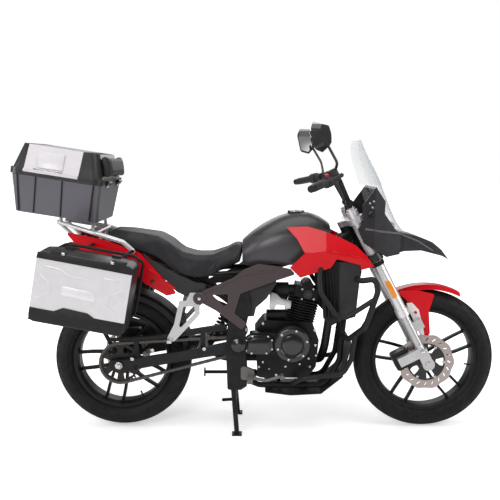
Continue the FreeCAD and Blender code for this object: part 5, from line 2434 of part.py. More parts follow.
def main():
    frame = main_frame()
    subframe = rear_subframe()
    motor = engine(frame)
    arm = swingarm()
    guard = crash_bar(frame)
    guards = both_sides(guard)
    tank = fuel_tank(guards)
    rack = rear_rack(subframe)
    rail = pannier_rack(rack, subframe)
    rails = both_sides(rail)
    hanger = passenger_hanger()
    cushion = seat(Part.makeCompound([rack, rails]))
    mudguard = rear_mudguard().cut([subframe, rack])
    cases, top_hinge = top_case()
    tub, lid, pannier_axis = pannier()
    nodes = {
        "main_frame": frame,
        "rear_subframe": subframe,
        "fuel_tank": tank,
        "engine": motor,
        "air_box": air_box([frame, subframe, motor, tank, cushion, arm]),
        "exhaust": exhaust(motor),
        "swingarm": arm,
        "seat": cushion,
        "rear_mudguard": largest(mudguard),
        "rear_rack": rack,
        "chain_guard": chain_guard(arm),
        "bash_plate": bash_plate(frame),
        "crash_bars": guards,
        "pannier_racks": rails,
        "passenger_hangers": both_sides(hanger),
        "shrouds": both_sides(shroud(tank, guard)),
        "side_panels": both_sides(side_panel(frame, guard)),
        "side_covers": both_sides(side_cover(cushion, hanger)),
        "frame_covers": both_sides(frame_cover(hanger)),
        "tail_panels": both_sides(tail_panel([rack, rail, cushion, mudguard, subframe])),
        "pannier_tub_left": largest(tub.cut(rail)),
        "pannier_lid_left": lid,
    }
    nodes["pannier_tub_right"] = mirrored(nodes["pannier_tub_left"])
    nodes["pannier_lid_right"] = mirrored(lid)
    for group in (
        front_wheel(), rear_wheel(), fork(), front_caliper(), handlebar(), hand_controls(), front_end(),
        front_fender(), cases, rear_caliper(), drive_chain(), rear_hugger(), rear_shock(), rider_pegs(),
        centre_stand(), side_stand()
    ):
        nodes.update(group)
    nodes["mirrors"] = largest(mirrors()["mirrors"].cut([nodes["hand_controls"], nodes["handlebar"]]), 2)
    offset = export(nodes)
    tilt = math.radians(PANNIER_TILT)
    places = {
        "offset": offset,
        "steering": STEERING_FOOT + offset,
        "front wheel": FRONT_AXLE + offset,
        "rear wheel": REAR_AXLE + offset,
        "centre stand": Vector(STAND_PIVOT_X, 0, STAND_PIVOT_Z) + offset,
        "side stand": side_stand_point(0) + offset,
        "top case lid": top_hinge + offset,
        "left side case lid": Vector(PANNIER_X + pannier_axis.z * math.sin(tilt), pannier_axis.y,
                                     PANNIER_Z + pannier_axis.z * math.cos(tilt)) + offset,
        "left lifting hole": Vector(BOBBIN_X, ARM_INNER + ARM_WALL + BOBBIN_DEPTH / 2,
                                    REAR_AXLE.z - BOBBIN_DROP) + offset,
    }
    for label, point in places.items():
        print(f"{label:20s} {point.x:9.2f} {point.y:9.2f} {point.z:9.2f}")


main()
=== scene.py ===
import bpy
import bmesh
import math
from mathutils import Matrix, Vector


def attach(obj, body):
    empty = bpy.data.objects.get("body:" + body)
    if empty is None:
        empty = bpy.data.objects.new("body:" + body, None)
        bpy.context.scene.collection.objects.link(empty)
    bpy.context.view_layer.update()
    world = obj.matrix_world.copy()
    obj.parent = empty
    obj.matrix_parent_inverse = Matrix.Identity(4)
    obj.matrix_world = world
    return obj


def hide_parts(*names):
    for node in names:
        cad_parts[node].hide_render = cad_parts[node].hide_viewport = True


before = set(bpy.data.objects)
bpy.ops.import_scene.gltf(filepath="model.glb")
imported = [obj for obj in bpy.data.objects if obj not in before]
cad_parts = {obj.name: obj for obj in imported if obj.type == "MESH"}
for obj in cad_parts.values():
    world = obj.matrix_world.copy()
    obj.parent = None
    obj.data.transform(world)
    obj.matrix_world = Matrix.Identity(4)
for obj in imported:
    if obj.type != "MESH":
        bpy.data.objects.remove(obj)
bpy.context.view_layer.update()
bpy.ops.object.select_all(action="DESELECT")

# The studio: a white floor and even, soft light from both sides, with the camera
# level with the rider's chest and looking straight at the motorcycle's right side.
look_down = 7.72
camera = bpy.data.cameras.new("side_view")
camera.lens = 47.9
camera.sensor_width = 36.0
camera_stand = bpy.data.objects.new("side_view", camera)
camera_stand.location = (-0.054, -2.990, 1.227)
camera_stand.rotation_euler = (math.radians(90 - look_down), 0, 0)
bpy.context.collection.objects.link(camera_stand)
bpy.context.scene.camera = camera_stand
bpy.context.scene.view_settings.view_transform = "Standard"


def soft_box(name, spot, aim, width, height, watts):
    light = bpy.data.lights.new(name, "AREA")
    light.shape, light.size, light.size_y, light.energy = "RECTANGLE", width, height, watts
    stand = bpy.data.objects.new(name, light)
    stand.location = spot
    stand.rotation_euler = (Vector(aim) - Vector(spot)).to_track_quat("-Z", "Y").to_euler()
    bpy.context.collection.objects.link(stand)


soft_box("ceiling_box", (0.0, -0.2, 3.6), (0, 0, 0.6), 4.0, 3.0, 84)
soft_box("right_box", (-1.4, -3.3, 2.3), (-0.2, 0, 0.6), 2.2, 1.4, 62)
soft_box("front_box", (3.2, -1.2, 1.6), (0.4, 0, 0.8), 1.6, 2.0, 40)
soft_box("rear_box", (-3.0, -1.0, 1.7), (-0.4, 0, 0.8), 1.6, 2.0, 34)
soft_box("left_box", (0.4, 3.4, 2.2), (0, 0, 0.7), 3.2, 1.8, 34)


class Tone:
    """A number, colour or place in a finish. Sums and products of tones add their nodes."""

    def __init__(self, socket):
        self.socket = socket

    def through(self, kind, wires=None, out=0, **settings):
        """Adds the node of that kind to the finish, and gives one of its outputs."""
        tree = self.socket.id_data
        made = tree.nodes.new("ShaderNode" + kind)
        for name, value in settings.items():
            setattr(made, name, value)
        for key, value in (wires or {}).items():
            if isinstance(value, Tone):
                tree.links.new(value.socket, made.inputs[key])
            else:
                made.inputs[key].default_value = value
        return Tone(made.outputs[out])

    def worked(self, operation, *values):
        return self.through("Math", dict(enumerate(values)), operation=operation)

    def __add__(self, other):
        return self.worked("ADD", self, other)

    def __sub__(self, other):
        return self.worked("SUBTRACT", self, other)

    def __rsub__(self, other):
        return self.worked("SUBTRACT", other, self)

    def __mul__(self, other):
        return self.worked("MULTIPLY", self, other)

    def __pow__(self, other):
        return self.worked("POWER", self, other)

    def __abs__(self):
        return self.worked("ABSOLUTE", self)

    __radd__ = __add__
    __rmul__ = __mul__

    def noise(self, scale, detail=2.0):
        return self.through("TexNoise", {"Vector": self, "Scale": scale, "Detail": detail})

    def axis(self, index):
        return self.through("SeparateXYZ", {0: self}, out=index)

    def ramp(self, low, high):
        """0 where this tone is below low, 1 above high, and between them on the way."""
        return self.through("MapRange", {0: self, 1: low, 2: high, 3: 0.0, 4: 1.0})

    def above(self, limit, blend):
        """1 where this tone is over the limit and 0 under it, with a blend that wide."""
        return (self - limit).ramp(0.0, blend)

    def below(self, limit, blend):
        return (limit - self).ramp(0.0, blend)

    def mixed(self, first, second):
        """first where this tone is 0 and second where it is 1."""
        return self.through("Mix", {0: self, 6: first, 7: second}, out=2, data_type="RGBA")


def tint(red, green, blue):
    """A colour as read off a screen, 0 to 255, in the light values that Blender uses."""
    shares = [value / 255 for value in (red, green, blue)]
    return (*[s / 12.92 if s <= 0.04045 else ((s + 0.055) / 1.055) ** 2.4 for s in shares], 1.0)


def shader(name):
    """A new finish, and the place on the piece that its patterns read."""
    material = bpy.data.materials.new(name)
    material.use_nodes = True
    material.node_tree.nodes.clear()
    return material, Tone(material.node_tree.nodes.new("ShaderNodeTexCoord").outputs["Object"])


def output(material, surface):
    end = material.node_tree.nodes.new("ShaderNodeOutputMaterial")
    material.node_tree.links.new(surface.socket, end.inputs["Surface"])
    return material


# The floor glows to the camera, and more so past the machine, so that it ends in white.
# The rise is between two squares of the distance from the middle, in square metres.
white = (1, 1, 1, 1)
glow_near, glow_gain, rise_from, rise_to = 0.42, 0.7, 1.6, 5.0
floor_finish, place = shader("studio_floor")
seen = place.through("LightPath", out=0)
lit = place.through("BsdfDiffuse", {0: place.noise(3.0).mixed(tint(232, 232, 232), tint(240, 240, 240))})
far = (place.axis(0) ** 2 + place.axis(1) ** 2).ramp(rise_from, rise_to)
glow = place.through("Emission", {0: white, 1: seen * (far * glow_gain + glow_near)})
output(floor_finish, place.through("AddShader", {0: lit, 1: glow}))
bpy.ops.mesh.primitive_plane_add(size=60, location=(0, 0, 0))
floor = bpy.context.object
floor.name = "studio_floor"
floor.data.materials.append(floor_finish)

# The room is white to the camera and behind glass, and dimmer as light on the machine
# and in what its metal reflects, so that the soft boxes give the shapes.
fill_light, less_in_metal = 0.3, 0.14
room = bpy.data.worlds.new("studio")
bpy.context.scene.world = room
room.use_nodes = True
room.node_tree.nodes.clear()
view = Tone(room.node_tree.nodes.new("ShaderNodeLightPath").outputs["Is Camera Ray"])
paths = view.socket.node.outputs
seen_white = Tone(paths["Is Transmission Ray"]) + view
strength = seen_white + fill_light - Tone(paths["Is Glossy Ray"]) * less_in_metal
fill = view.through("Background", {0: white, 1: view.worked("MINIMUM", strength, 1.0)})
room_end = room.node_tree.nodes.new("ShaderNodeOutputWorld")
room.node_tree.links.new(fill.socket, room_end.inputs["Surface"])


# The frame, the seat rails and the stands are steel tube, welded and powder-coated in
# one batch: a deep black with the slight orange peel that baked powder keeps.
def coated(name, colour, rough, metal=0.0, coat=0.0, sheen=None, mottle=(30.0, 0.06),
           grain=(900.0, 0.00004)):
    """A finish with a slow mottling of tone and gloss and a fine grain. colour and metal are
    values, or functions of the place on the piece. mottle is a scale and a share, and grain
    a scale and a height in metres. sheen is how strongly the bare surface reflects."""
    plain_sheen, bright_sheen, coat_rough, worn_grey = 0.22, 0.5, 0.06, tint(84, 82, 80)
    material, at = shader(name)
    mottle_scale, mottle_share = mottle
    grain_scale, grain_height = grain
    cloud = at.noise(mottle_scale, 3.0)
    worn = cloud.ramp(0.35, 0.65) * mottle_share
    fine = at.noise(grain_scale, 2.0)
    wires = {
        "Base Color": worn.mixed(colour(at) if callable(colour) else colour, worn_grey),
        "Roughness": rough + (cloud - 0.5) * (mottle_share * 2),
        "Normal": at.through("Bump", {"Strength": 1.0, "Distance": grain_height, "Height": fine}),
        "Metallic": metal(at) if callable(metal) else metal,
        "Specular IOR Level": sheen or (bright_sheen if coat or metal else plain_sheen),
    }
    if coat:
        wires["Coat Weight"], wires["Coat Roughness"] = coat, coat_rough
    return output(material, at.through("BsdfPrincipled", wires))


def dress(material, *names):
    """Gives the finish to whole parts of the machine, as the frame brings them."""
    for name in names:
        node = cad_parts[name]
        if not node.material_slots:
            node.data.materials.append(material)
        for slot in node.material_slots:
            slot.material = material


powder_black = coated("powder_black", tint(20, 19, 20), 0.42, grain=(420.0, 0.00012))
dress(powder_black, "main_frame", "rear_subframe", "centre_stand", "side_stand", "pannier_racks",
      "cowl_stays")
dress(coated("peg_grey", tint(104, 100, 100), 0.45, metal=0.3), "rider_pegs")

# The crash bars are steel tube, and the plate under the engine, the swingarm and its chain
# guard are welded and pressed steel. They are bolted on, in a flatter and grainier black.
satin_black = coated("satin_black", tint(30, 29, 30), 0.5, grain=(700.0, 0.0001))
dress(satin_black, "crash_bars", "bash_plate", "chain_guard", "swingarm")

# The engine is cast aluminium under black enamel, pebbled by the sand of its mould. Its
# two round side covers are turned smooth, each held by a ring of bright cap bolts.
origin_ahead = 635.95
both_sides = ((-1, "right"), (1, "left"))


def mm(x, y, z):
    """A place on the machine: millimetres ahead of the rear axle, left of the middle, and up."""
    return Vector((x - origin_ahead, y, z)) / 1000


def alone(piece):
    """Selects this piece and nothing else, for the tools that work on a selection."""
    bpy.ops.object.select_all(action="DESELECT")
    piece.select_set(True)
    bpy.context.view_layer.objects.active = piece


def round_edges(piece, width, segments, angle):
    """Bevels the edges that turn by more than the angle, in degrees."""
    alone(piece)
    edge = piece.modifiers.new("edge", "BEVEL")
    edge.width, edge.segments = width, segments
    edge.limit_method, edge.angle_limit = "ANGLE", math.radians(angle)
    bpy.ops.object.modifier_apply(modifier="edge")


def keep(piece, name, finish, body, round_edge=0.0, sharp=35.0):
    """Names the piece, rounds its edges, gives it its finish and sets it on its body.
    round_edge is in metres, and edges sharper than sharp, in degrees, stay crisp."""
    piece.name = piece.data.name = name
    alone(piece)
    bpy.ops.object.transform_apply(location=True, rotation=True, scale=True)
    if round_edge:
        round_edges(piece, round_edge, 2, 30)
    bpy.ops.object.shade_smooth_by_angle(angle=math.radians(sharp))
    piece.data.materials.clear()
    piece.data.materials.append(finish)
    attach(piece, body)
    return piece


def lathe(centre, axis, profile, steps=48):
    """A turned ring or knob: its profile, radius and height in millimetres, spun once round
    the axis."""
    along = Vector(axis).normalized()
    across = along.orthogonal().normalized()
    bpy.ops.object.select_all(action="DESELECT")
    bpy.ops.mesh.primitive_circle_add(vertices=len(profile), radius=0.01)
    piece = bpy.context.object
    for vertex, (radius, height) in zip(piece.data.vertices, profile):
        vertex.co = Vector(centre) + across * (radius / 1000) + along * (height / 1000)
    bpy.ops.object.transform_apply(location=True, rotation=True, scale=True)
    bpy.ops.object.mode_set(mode="EDIT")
    bpy.ops.mesh.select_all(action="SELECT")
    bpy.ops.mesh.spin(steps=steps, angle=2 * math.pi, center=centre, axis=along)
    bpy.ops.mesh.select_all(action="SELECT")
    bpy.ops.mesh.remove_doubles(threshold=0.00002)
    bpy.ops.mesh.normals_make_consistent(inside=False)
    bpy.ops.object.mode_set(mode="OBJECT")
    return piece


def choose(piece, test):
    """In edit mode, selects the faces whose middle and normal pass the test."""
    bpy.ops.mesh.select_mode(type="FACE")
    bpy.ops.mesh.select_all(action="DESELECT")
    shape = bmesh.from_edit_mesh(piece.data)
    for face in shape.faces:
        face.select_set(test(face.calc_center_median(), face.normal))
    bmesh.update_edit_mesh(piece.data)


def plate(corners, depth):
    """A flat piece with those corners, extruded by depth, a vector in metres."""
    bpy.ops.object.select_all(action="DESELECT")
    bpy.ops.mesh.primitive_circle_add(vertices=len(corners), radius=0.01, fill_type="NGON")
    piece = bpy.context.object
    for vertex, corner in zip(piece.data.vertices, corners):
        vertex.co = corner
    bpy.ops.object.mode_set(mode="EDIT")
    bpy.ops.mesh.select_all(action="SELECT")
    bpy.ops.mesh.extrude_region_move(TRANSFORM_OT_translate={"value": depth})
    bpy.ops.mesh.select_all(action="SELECT")
    bpy.ops.mesh.normals_make_consistent(inside=False)
    bpy.ops.object.mode_set(mode="OBJECT")
    return piece


def joined(pieces):
    """One piece out of several."""
    alone(pieces[0])
    for piece in pieces:
        piece.select_set(True)
    bpy.ops.object.join()
    return bpy.context.object


def cap_bolts(spots, axis, radius, height):
    """Bolts with a sunk socket, modelled once and copied to every spot. Sizes are in metres."""
    bpy.ops.object.select_all(action="DESELECT")
    bpy.ops.mesh.primitive_cylinder_add(vertices=12, radius=radius, depth=height,
                                        location=(0, 0, height / 2))
    head = bpy.context.object
    bpy.ops.object.transform_apply(location=True, rotation=True, scale=True)
    bpy.ops.object.mode_set(mode="EDIT")
    choose(head, lambda middle, normal: normal.z > 0.9)
    bpy.ops.mesh.inset(thickness=radius * 0.18)
    bpy.ops.transform.translate(value=(0, 0, height * 0.15))
    bpy.ops.mesh.inset(thickness=radius * 0.3)
    bpy.ops.mesh.extrude_region_move(TRANSFORM_OT_translate={"value": (0, 0, -height * 0.5)})
    bpy.ops.object.mode_set(mode="OBJECT")
    turn = Vector(axis).to_track_quat("Z", "Y").to_matrix().to_4x4()
    copies = []
    for spot in spots:
        copy = head.copy()
        copy.data = head.data.copy()
        bpy.context.collection.objects.link(copy)
        copy.data.transform(Matrix.Translation(spot) @ turn)
        copies.append(copy)
    bpy.data.objects.remove(head)
    return joined(copies)


def steel_bolts(name, spots, axis, radius, height, body="chassis"):
    keep(cap_bolts(spots, axis, radius, height), name, bright_steel, body)


def six_round(hub, radius, out, first=0):
    """Six places round a hub, the first that many degrees above straight ahead."""
    turns = [math.radians(60 * n + first) for n in range(6)]
    return [hub + Vector((math.cos(turn), 0, math.sin(turn))) * radius + Vector(out) for turn in turns]


engine_black = coated("engine_black", tint(15, 14, 15), 0.4, mottle=(18.0, 0.06), grain=(520.0, 0.00018))
dress(engine_black, "engine")
cover_gloss = coated("cover_gloss", tint(14, 13, 14), 0.2, coat=0.5, mottle=(18.0, 0.04),
                     grain=(520.0, 0.00006))
bright_steel = coated("bright_steel", tint(214, 212, 212), 0.24, metal=0.9, grain=(800.0, 0.00004))
cast_silver = coated("cast_silver", tint(206, 204, 206), 0.34, metal=0.6, grain=(600.0, 0.0001))
cover_ring = [(50, -1), (56, 3), (72, 4), (76, 2), (76, -2), (50, -2)]
cover_dome = [(0, 5), (22, 4.5), (36, 3), (44, 0), (44, -2), (0, -2)]
for side, label in both_sides:
    hub, face = mm(768, side * 152, 420), (0, side, 0)
    keep(lathe(hub, face, cover_ring), "cover_ring_" + label, cover_gloss, "chassis", 0.0008)
    keep(lathe(hub, face, cover_dome), "cover_dome_" + label, cover_gloss, "chassis")
    spots = six_round(hub, 0.0665, (0, side * 0.003, 0), first=15)
    steel_bolts("cover_bolts_" + label, spots, face, radius=0.0048, height=0.005)

right_face = (0, -1, 0)
case_line = ((622, 300), (700, 262), (852, 300), (876, 400), (872, 470), (640, 500))
steel_bolts("case_bolts", [mm(x, -76, z) for x, z in case_line], right_face, radius=0.006, height=0.007)
clutch_x, clutch_z = 620, 417
clutch_rim = [(556, 388), (556, 440), (588, 462), (668, 462), (688, 442), (688, 394), (660, 372), (584, 372)]


def clutch_outline(y, length_share=1, height_share=1):
    """The clutch case's outline at y, drawn in towards its middle by those shares."""
    return [mm(clutch_x + (x - clutch_x) * length_share, y, clutch_z + (z - clutch_z) * height_share)
            for x, z in clutch_rim]


keep(plate(clutch_outline(-123), (0, -0.011, 0)), "clutch_case_rim", cover_gloss, "chassis",
     round_edge=0.005)
keep(plate(clutch_outline(-133, 0.72, 0.68), (0, -0.008, 0)), "clutch_case_lid", cover_gloss, "chassis",
     round_edge=0.004)
steel_bolts("clutch_case_bolts", clutch_outline(-134, 0.87, 0.85), right_face, radius=0.0045, height=0.005)
valve_cap = [(0, 7), (12, 7), (15, 4), (20, 4), (22, 1), (22, -2), (0, -2)]
keep(lathe(mm(842, -54, 628), right_face, valve_cap), "valve_cap", cover_gloss, "chassis")
head_corners = ((816, 652), (866, 652), (814, 606), (868, 606))
steel_bolts("head_bolts", [mm(x, -54, z) for x, z in head_corners], right_face, radius=0.005, height=0.006)
sump_line = ((640, 322), (668, 290), (742, 300), (806, 312), (846, 338), (880, 352))
steel_bolts("sump_bolts", [mm(x, -75, z) for x, z in sump_line], right_face, radius=0.005, height=0.006)

# A turned cap and a black ring close the swingarm's pivot on each side of the engine. The
# carburettor's throttle body is a bare alloy casting, held between air box and cylinder.
pivot_cap = [(0, 9), (12, 9), (16, 6), (26, 5), (31, 2), (31, -2), (0, -2)]
pivot_ring = [(34, -1), (35, 4), (40, 4), (42, 1), (42, -1)]
for side, label in both_sides:
    pivot, face = mm(530, side * 139, 415), (0, side, 0)
    keep(lathe(pivot, face, pivot_cap), "pivot_cap_" + label, cover_gloss, "chassis")
    keep(lathe(pivot, face, pivot_ring), "pivot_ring_" + label, powder_black, "chassis")
throttle_outline = ((672, 640), (700, 634), (722, 612), (768, 600), (764, 566), (744, 562), (736, 580),
                    (700, 584), (690, 560), (668, 566))
throttle = plate([mm(x, -52, z) for x, z in throttle_outline], (0, -0.020, 0))
keep(throttle, "throttle_casting", cast_silver, "chassis", round_edge=0.003)

# The exhaust is stainless steel in a heatproof black coat. A turned tip of bare steel is
# welded into the end of its silencer, in line with it.
pipe_black = coated("pipe_black", tint(38, 36, 36), 0.5, metal=0.4)
dress(pipe_black, "exhaust")
silencer_front, outlet = mm(330, 181, 336), mm(-128, 181, 452)
tip = [(17, 0), (17, 34), (18.5, 36), (21, 36), (22, 34), (22, 4), (26, 0)]
keep(lathe(outlet, (outlet - silencer_front).normalized(), tip), "exhaust_tip", bright_steel, "chassis")

# The cast wheels carry the same satin black all over. Each tyre is moulded rubber with a
# shallow channel round its crown, short slanting grooves beside it, and a raised line
# where the rim begins.
wheel_black = coated("wheel_black", tint(16, 16, 17), 0.36, grain=(600.0, 0.00008))
dress(wheel_black, "front_rim", "rear_rim")
wheelbase, front_axle_up, rear_axle_up = 1380, 320, 322
front_hub, rear_hub = mm(wheelbase, 0, front_axle_up), mm(0, 0, rear_axle_up)
steps_round, rows_round = 150, 36
row_angle = 360 / rows_round


def tyre(name, node, body, hub, middle, section, width_share, finish):
    """A tyre round the hub: middle is the radius of its ring, section that of its tube."""
    bpy.ops.object.select_all(action="DESELECT")
    bpy.ops.mesh.primitive_torus_add(location=hub, rotation=(math.pi / 2, 0, 0), major_radius=middle,
                                     minor_radius=section, major_segments=steps_round,
                                     minor_segments=rows_round)
    ring = bpy.context.object
    bpy.ops.object.transform_apply(location=True, rotation=True, scale=True)
    for vertex in ring.data.vertices:
        vertex.co.y *= width_share

    def off_crown(point):
        """How far round the section a point is from the crown, in degrees."""
        out = math.hypot(point.x - hub.x, point.z - hub.z)
        return abs(math.degrees(math.atan2(point.y / width_share, out - middle)))

    def crown(point, normal):
        return off_crown(point) < row_angle

    def groove(point, normal):
        """Two steps of every six, each row of them two steps on from the last."""
        turn = math.degrees(math.atan2(point.z - hub.z, point.x - hub.x))
        step, row = int(turn * steps_round / 360 + 200), int(off_crown(point) // row_angle)
        return row in (2, 3, 4, 5) and (step + 2 * row) % 6 in (0, 1)

    def rim_line(point, normal):
        return 10 * row_angle < off_crown(point) < 11 * row_angle

    bpy.ops.object.mode_set(mode="EDIT")
    for part, inset, lift in (
        (groove, 0.0014, -0.0028), (crown, 0.004, -0.0016), (rim_line, 0.0012, 0.0016),
    ):
        choose(ring, part)
        bpy.ops.mesh.inset(thickness=inset)
        bpy.ops.transform.shrink_fatten(value=lift)
    bpy.ops.object.mode_set(mode="OBJECT")
    keep(ring, name, finish, body, sharp=40)
    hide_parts(node)


def out_from(at, hub):
    """How far a finish's place is from a wheel's axle, in metres."""
    return ((at.axis(0) - hub.x) ** 2 + (at.axis(2) - hub.z) ** 2) ** 0.5


def rubber(name, hub):
    def tone(at):
        sidewall, tread = 0.268, 0.305
        return out_from(at, hub).ramp(sidewall, tread).mixed(tint(15, 14, 14), tint(27, 25, 24))
    return coated(name, tone, 0.62, mottle=(40.0, 0.08), grain=(1500.0, 0.00012))


tyre("front_tyre_treaded", "front_tyre", "front_wheel", front_hub, middle=0.2735, section=0.0465,
     width_share=1.09, finish=rubber("front_rubber", front_hub))
tyre("rear_tyre_treaded", "rear_tyre", "rear_wheel", rear_hub, middle=0.2640, section=0.0490,
     width_share=1.34, finish=rubber("rear_rubber", rear_hub))


# Each disc is a wavy steel band riveted to a black carrier. The chain is oiled steel over
# a dark sprocket, and bright nuts and bolts hold the rear axle and the swingarm.
def disc_steel(name, hub, carrier_radius):
    def band(at):
        return out_from(at, hub).ramp(carrier_radius, carrier_radius + 0.0004)
    return coated(name, lambda at: band(at).mixed(tint(24, 23, 24), tint(176, 164, 160)), 0.32,
                  metal=lambda at: band(at) * 0.85)


dress(disc_steel("front_disc_steel", front_hub, carrier_radius=0.086), "front_disc")
dress(disc_steel("rear_disc_steel", rear_hub, carrier_radius=0.074), "rear_disc")
dress(coated("chain_steel", tint(88, 83, 80), 0.36, metal=0.8, grain=(300.0, 0.0006)), "drive_chain")
dress(coated("sprocket_black", tint(36, 34, 33), 0.4, metal=0.5), "rear_sprocket")
axle_nut = [(0, 15), (10, 15), (13, 12), (14, 3), (18, 2), (18, -1), (0, -1)]
for side, label in both_sides:
    nut = lathe(mm(0, side * 138, rear_axle_up), (0, side, 0), axle_nut, steps=6)
    keep(nut, "rear_nut_" + label, bright_steel, "chassis", round_edge=0.001)
arm_spots = [mm(x, -128, z) for x, z in ((150, 392), (379, 398), (60, 352))]
steel_bolts("swingarm_bolts", arm_spots, right_face, radius=0.008, height=0.007)
rivet_spots = six_round(front_hub, 0.078, (0, -0.072, 0))
steel_bolts("disc_rivets", rivet_spots, right_face, radius=0.006, height=0.005, body="front_wheel")

# The brakes' blocks are black castings, bolted to the fork and the swingarm. The spring
# round the rear shock is wound from black-coated steel.
dress(coated("caliper_black", tint(26, 25, 26), 0.35), "front_caliper", "rear_caliper")
dress(coated("shock_spring", tint(30, 30, 32), 0.3), "rear_shock")

# The fork's tubes are bright, its feet are silver castings, and only the upper of its two
# clamps is silver. An amber reflector is glued to each tube, above a black rubber collar.
rake = math.radians(27.5)
leg_ahead, reflector_up, collar_up = 45, 388, 505
clamp_split, clamp_blend = 0.905, 0.010


def steer(forward, left, up):
    """A place on what steers: ahead of the steering axis, left of it, and up along it from
    beside the front axle."""
    ahead = forward - leg_ahead
    return mm(wheelbase + ahead * math.cos(rake) - up * math.sin(rake), left,
              front_axle_up + ahead * math.sin(rake) + up * math.cos(rake))


def upper_clamp(at):
    """1 on the upper clamp and 0 on the lower."""
    return at.axis(2).ramp(clamp_split, clamp_split + clamp_blend)


dress(coated("fork_chrome", tint(226, 224, 226), 0.3, metal=0.6, mottle=(20.0, 0.0)), "fork_uppers")
dress(coated("fork_silver", tint(198, 196, 198), 0.3, metal=0.7), "fork_lowers")
dress(coated("clamp_silver", lambda at: upper_clamp(at).mixed(tint(30, 29, 30), tint(196, 194, 196)), 0.34,
             metal=lambda at: upper_clamp(at) * 0.6), "triple_clamps")
amber = coated("amber_lens", tint(236, 142, 22), 0.16, coat=0.6, grain=(380.0, 0.0003))
collar_rubber = coated("collar_rubber", tint(24, 23, 24), 0.6)
reflector_outline = ((-12, -36), (-9, -42), (9, -42), (12, -36), (12, 36), (9, 42), (-9, 42), (-12, 36))
leg_collar = [(25.6, 0), (30, 1), (31, 6), (29, 9), (31, 12), (30, 18), (25.6, 19)]
axis_up = (steer(0, 0, 100) - steer(0, 0, 0)).normalized()
for side, label in both_sides:
    corners = [steer(leg_ahead + forward, side * 122.6, reflector_up + up)
               for forward, up in reflector_outline]
    keep(plate(corners, (0, side * 0.007, 0)), "reflector_" + label, amber, "steering", 0.0016)
    collar = lathe(steer(leg_ahead, side * 98, collar_up), axis_up, leg_collar)
    keep(collar, "fork_collar_" + label, collar_rubber, "steering")
    foot_spots = [steer(leg_ahead, side * 124, up) for up in (66, 96)]
    steel_bolts("fork_bolts_" + label, foot_spots, (0, side, 0), radius=0.007, height=0.006, body="steering")

# The front mudguard is moulded plastic lacquered red, as the shrouds and tail panels are.
# A pale stay with two red rivets holds it to each leg of the fork.
lacquer_red = coated("lacquer_red", tint(196, 4, 20), 0.3, coat=0.12, sheen=0.2, mottle=(12.0, 0.01),
                     grain=(200.0, 0.00002))
dress(lacquer_red, "front_fender", "shrouds", "tail_panels")
stay_pale = coated("stay_pale", tint(226, 222, 222), 0.36, metal=0.2)
stay_outline = ((1284, 590), (1309, 592), (1340, 560), (1362, 482), (1372, 428), (1358, 420), (1330, 486),
                (1292, 562))
for side, label in both_sides:
    stay = plate([mm(x, side * 62, z) for x, z in stay_outline], (0, side * 0.003, 0))
    keep(stay, "fender_stay_" + label, stay_pale, "steering", round_edge=0.001)
    rivets = cap_bolts([mm(1326, side * 65, 548), mm(1346, side * 65, 484)], (0, side, 0), 0.0062, 0.004)
    keep(rivets, "fender_rivets_" + label, lacquer_red, "steering")


# The tank is pressed steel, lacquered anthracite below its shoulder line and black above.
# A locked filler cap of bright metal sits in a turned ring on its top.
def tank_tone(at):
    line_up, line_slope, line_blend = 0.898, 0.08, 0.006
    height = at.axis(2) - at.axis(0) * line_slope
    return height.ramp(line_up, line_up + line_blend).mixed(tint(54, 51, 54), tint(36, 34, 35))


dress(coated("tank_anthracite", tank_tone, 0.4, coat=0.12, mottle=(20.0, 0.03)), "fuel_tank")
filler_ring = [(24, 0), (30, 3), (35, 3), (37, 0), (37, -2), (24, -2)]
filler = lathe(mm(788.6, 0, 1000.2), (0, 0, 1), filler_ring)
keep(filler, "filler_ring", bright_steel, "chassis")

# The covers over the frame, the side covers, the air box and the radiator's sides are
# moulded plastic in greys, screwed on under round caps, and the hugger over the rear wheel
# is black. Fins stand in the radiator's sides.
cover_grey = coated("cover_brown_grey", tint(70, 60, 61), 0.4)
dress(cover_grey, "frame_covers")
dress(coated("moulded_black", tint(32, 30, 32), 0.5, grain=(1100.0, 0.00008)), "rear_hugger")
dress(coated("panel_grey", tint(46, 44, 46), 0.46, grain=(900.0, 0.0001)), "side_covers", "air_box")


def radiator_side(at):
    """Near black round the fins, and grey on the panel ahead of them."""
    panel_back, blend = 0.330, 0.004
    return at.axis(0).ramp(panel_back, panel_back + blend).mixed(tint(20, 19, 20), tint(50, 48, 50))


dress(coated("radiator_side", radiator_side, 0.44), "side_panels")
cap_rim = [(12, 0), (15, 4), (24, 4), (27, 1), (27, -2), (12, -2)]
cap_hub = [(0, 5), (7, 4), (9, 1), (9, -2), (0, -2)]
fin_count, first_fin, fin_pitch, fin_thick, fin_lean = 5, 893, 14, 6, 14
cover_ridge = ((385, 664), (560, 742), (690, 752), (692, 746), (562, 734), (390, 654))
for side, label in both_sides:
    spot, face = mm(361, side * 151, 629), (0, side, 0)
    keep(lathe(spot, face, cap_rim), "cover_cap_rim_" + label, cover_grey, "chassis")
    keep(lathe(spot, face, cap_hub), "cover_cap_hub_" + label, bright_steel, "chassis")
    fins = []
    for n in range(fin_count):
        top_x = first_fin + n * fin_pitch
        foot_x = top_x + fin_lean
        corners = [mm(top_x, side * 150, 772), mm(top_x + fin_thick, side * 150, 772),
                   mm(foot_x + fin_thick, side * 158, 545), mm(foot_x, side * 158, 545)]
        fins.append(plate(corners, (0, side * 0.020, 0)))
    keep(joined(fins), "radiator_fins_" + label, engine_black, "chassis", 0.001)
    ridge = plate([mm(x, side * 147, z) for x, z in cover_ridge], (0, side * 0.0022, 0))
    keep(ridge, "cover_ridge_" + label, cover_grey, "chassis", round_edge=0.0008)


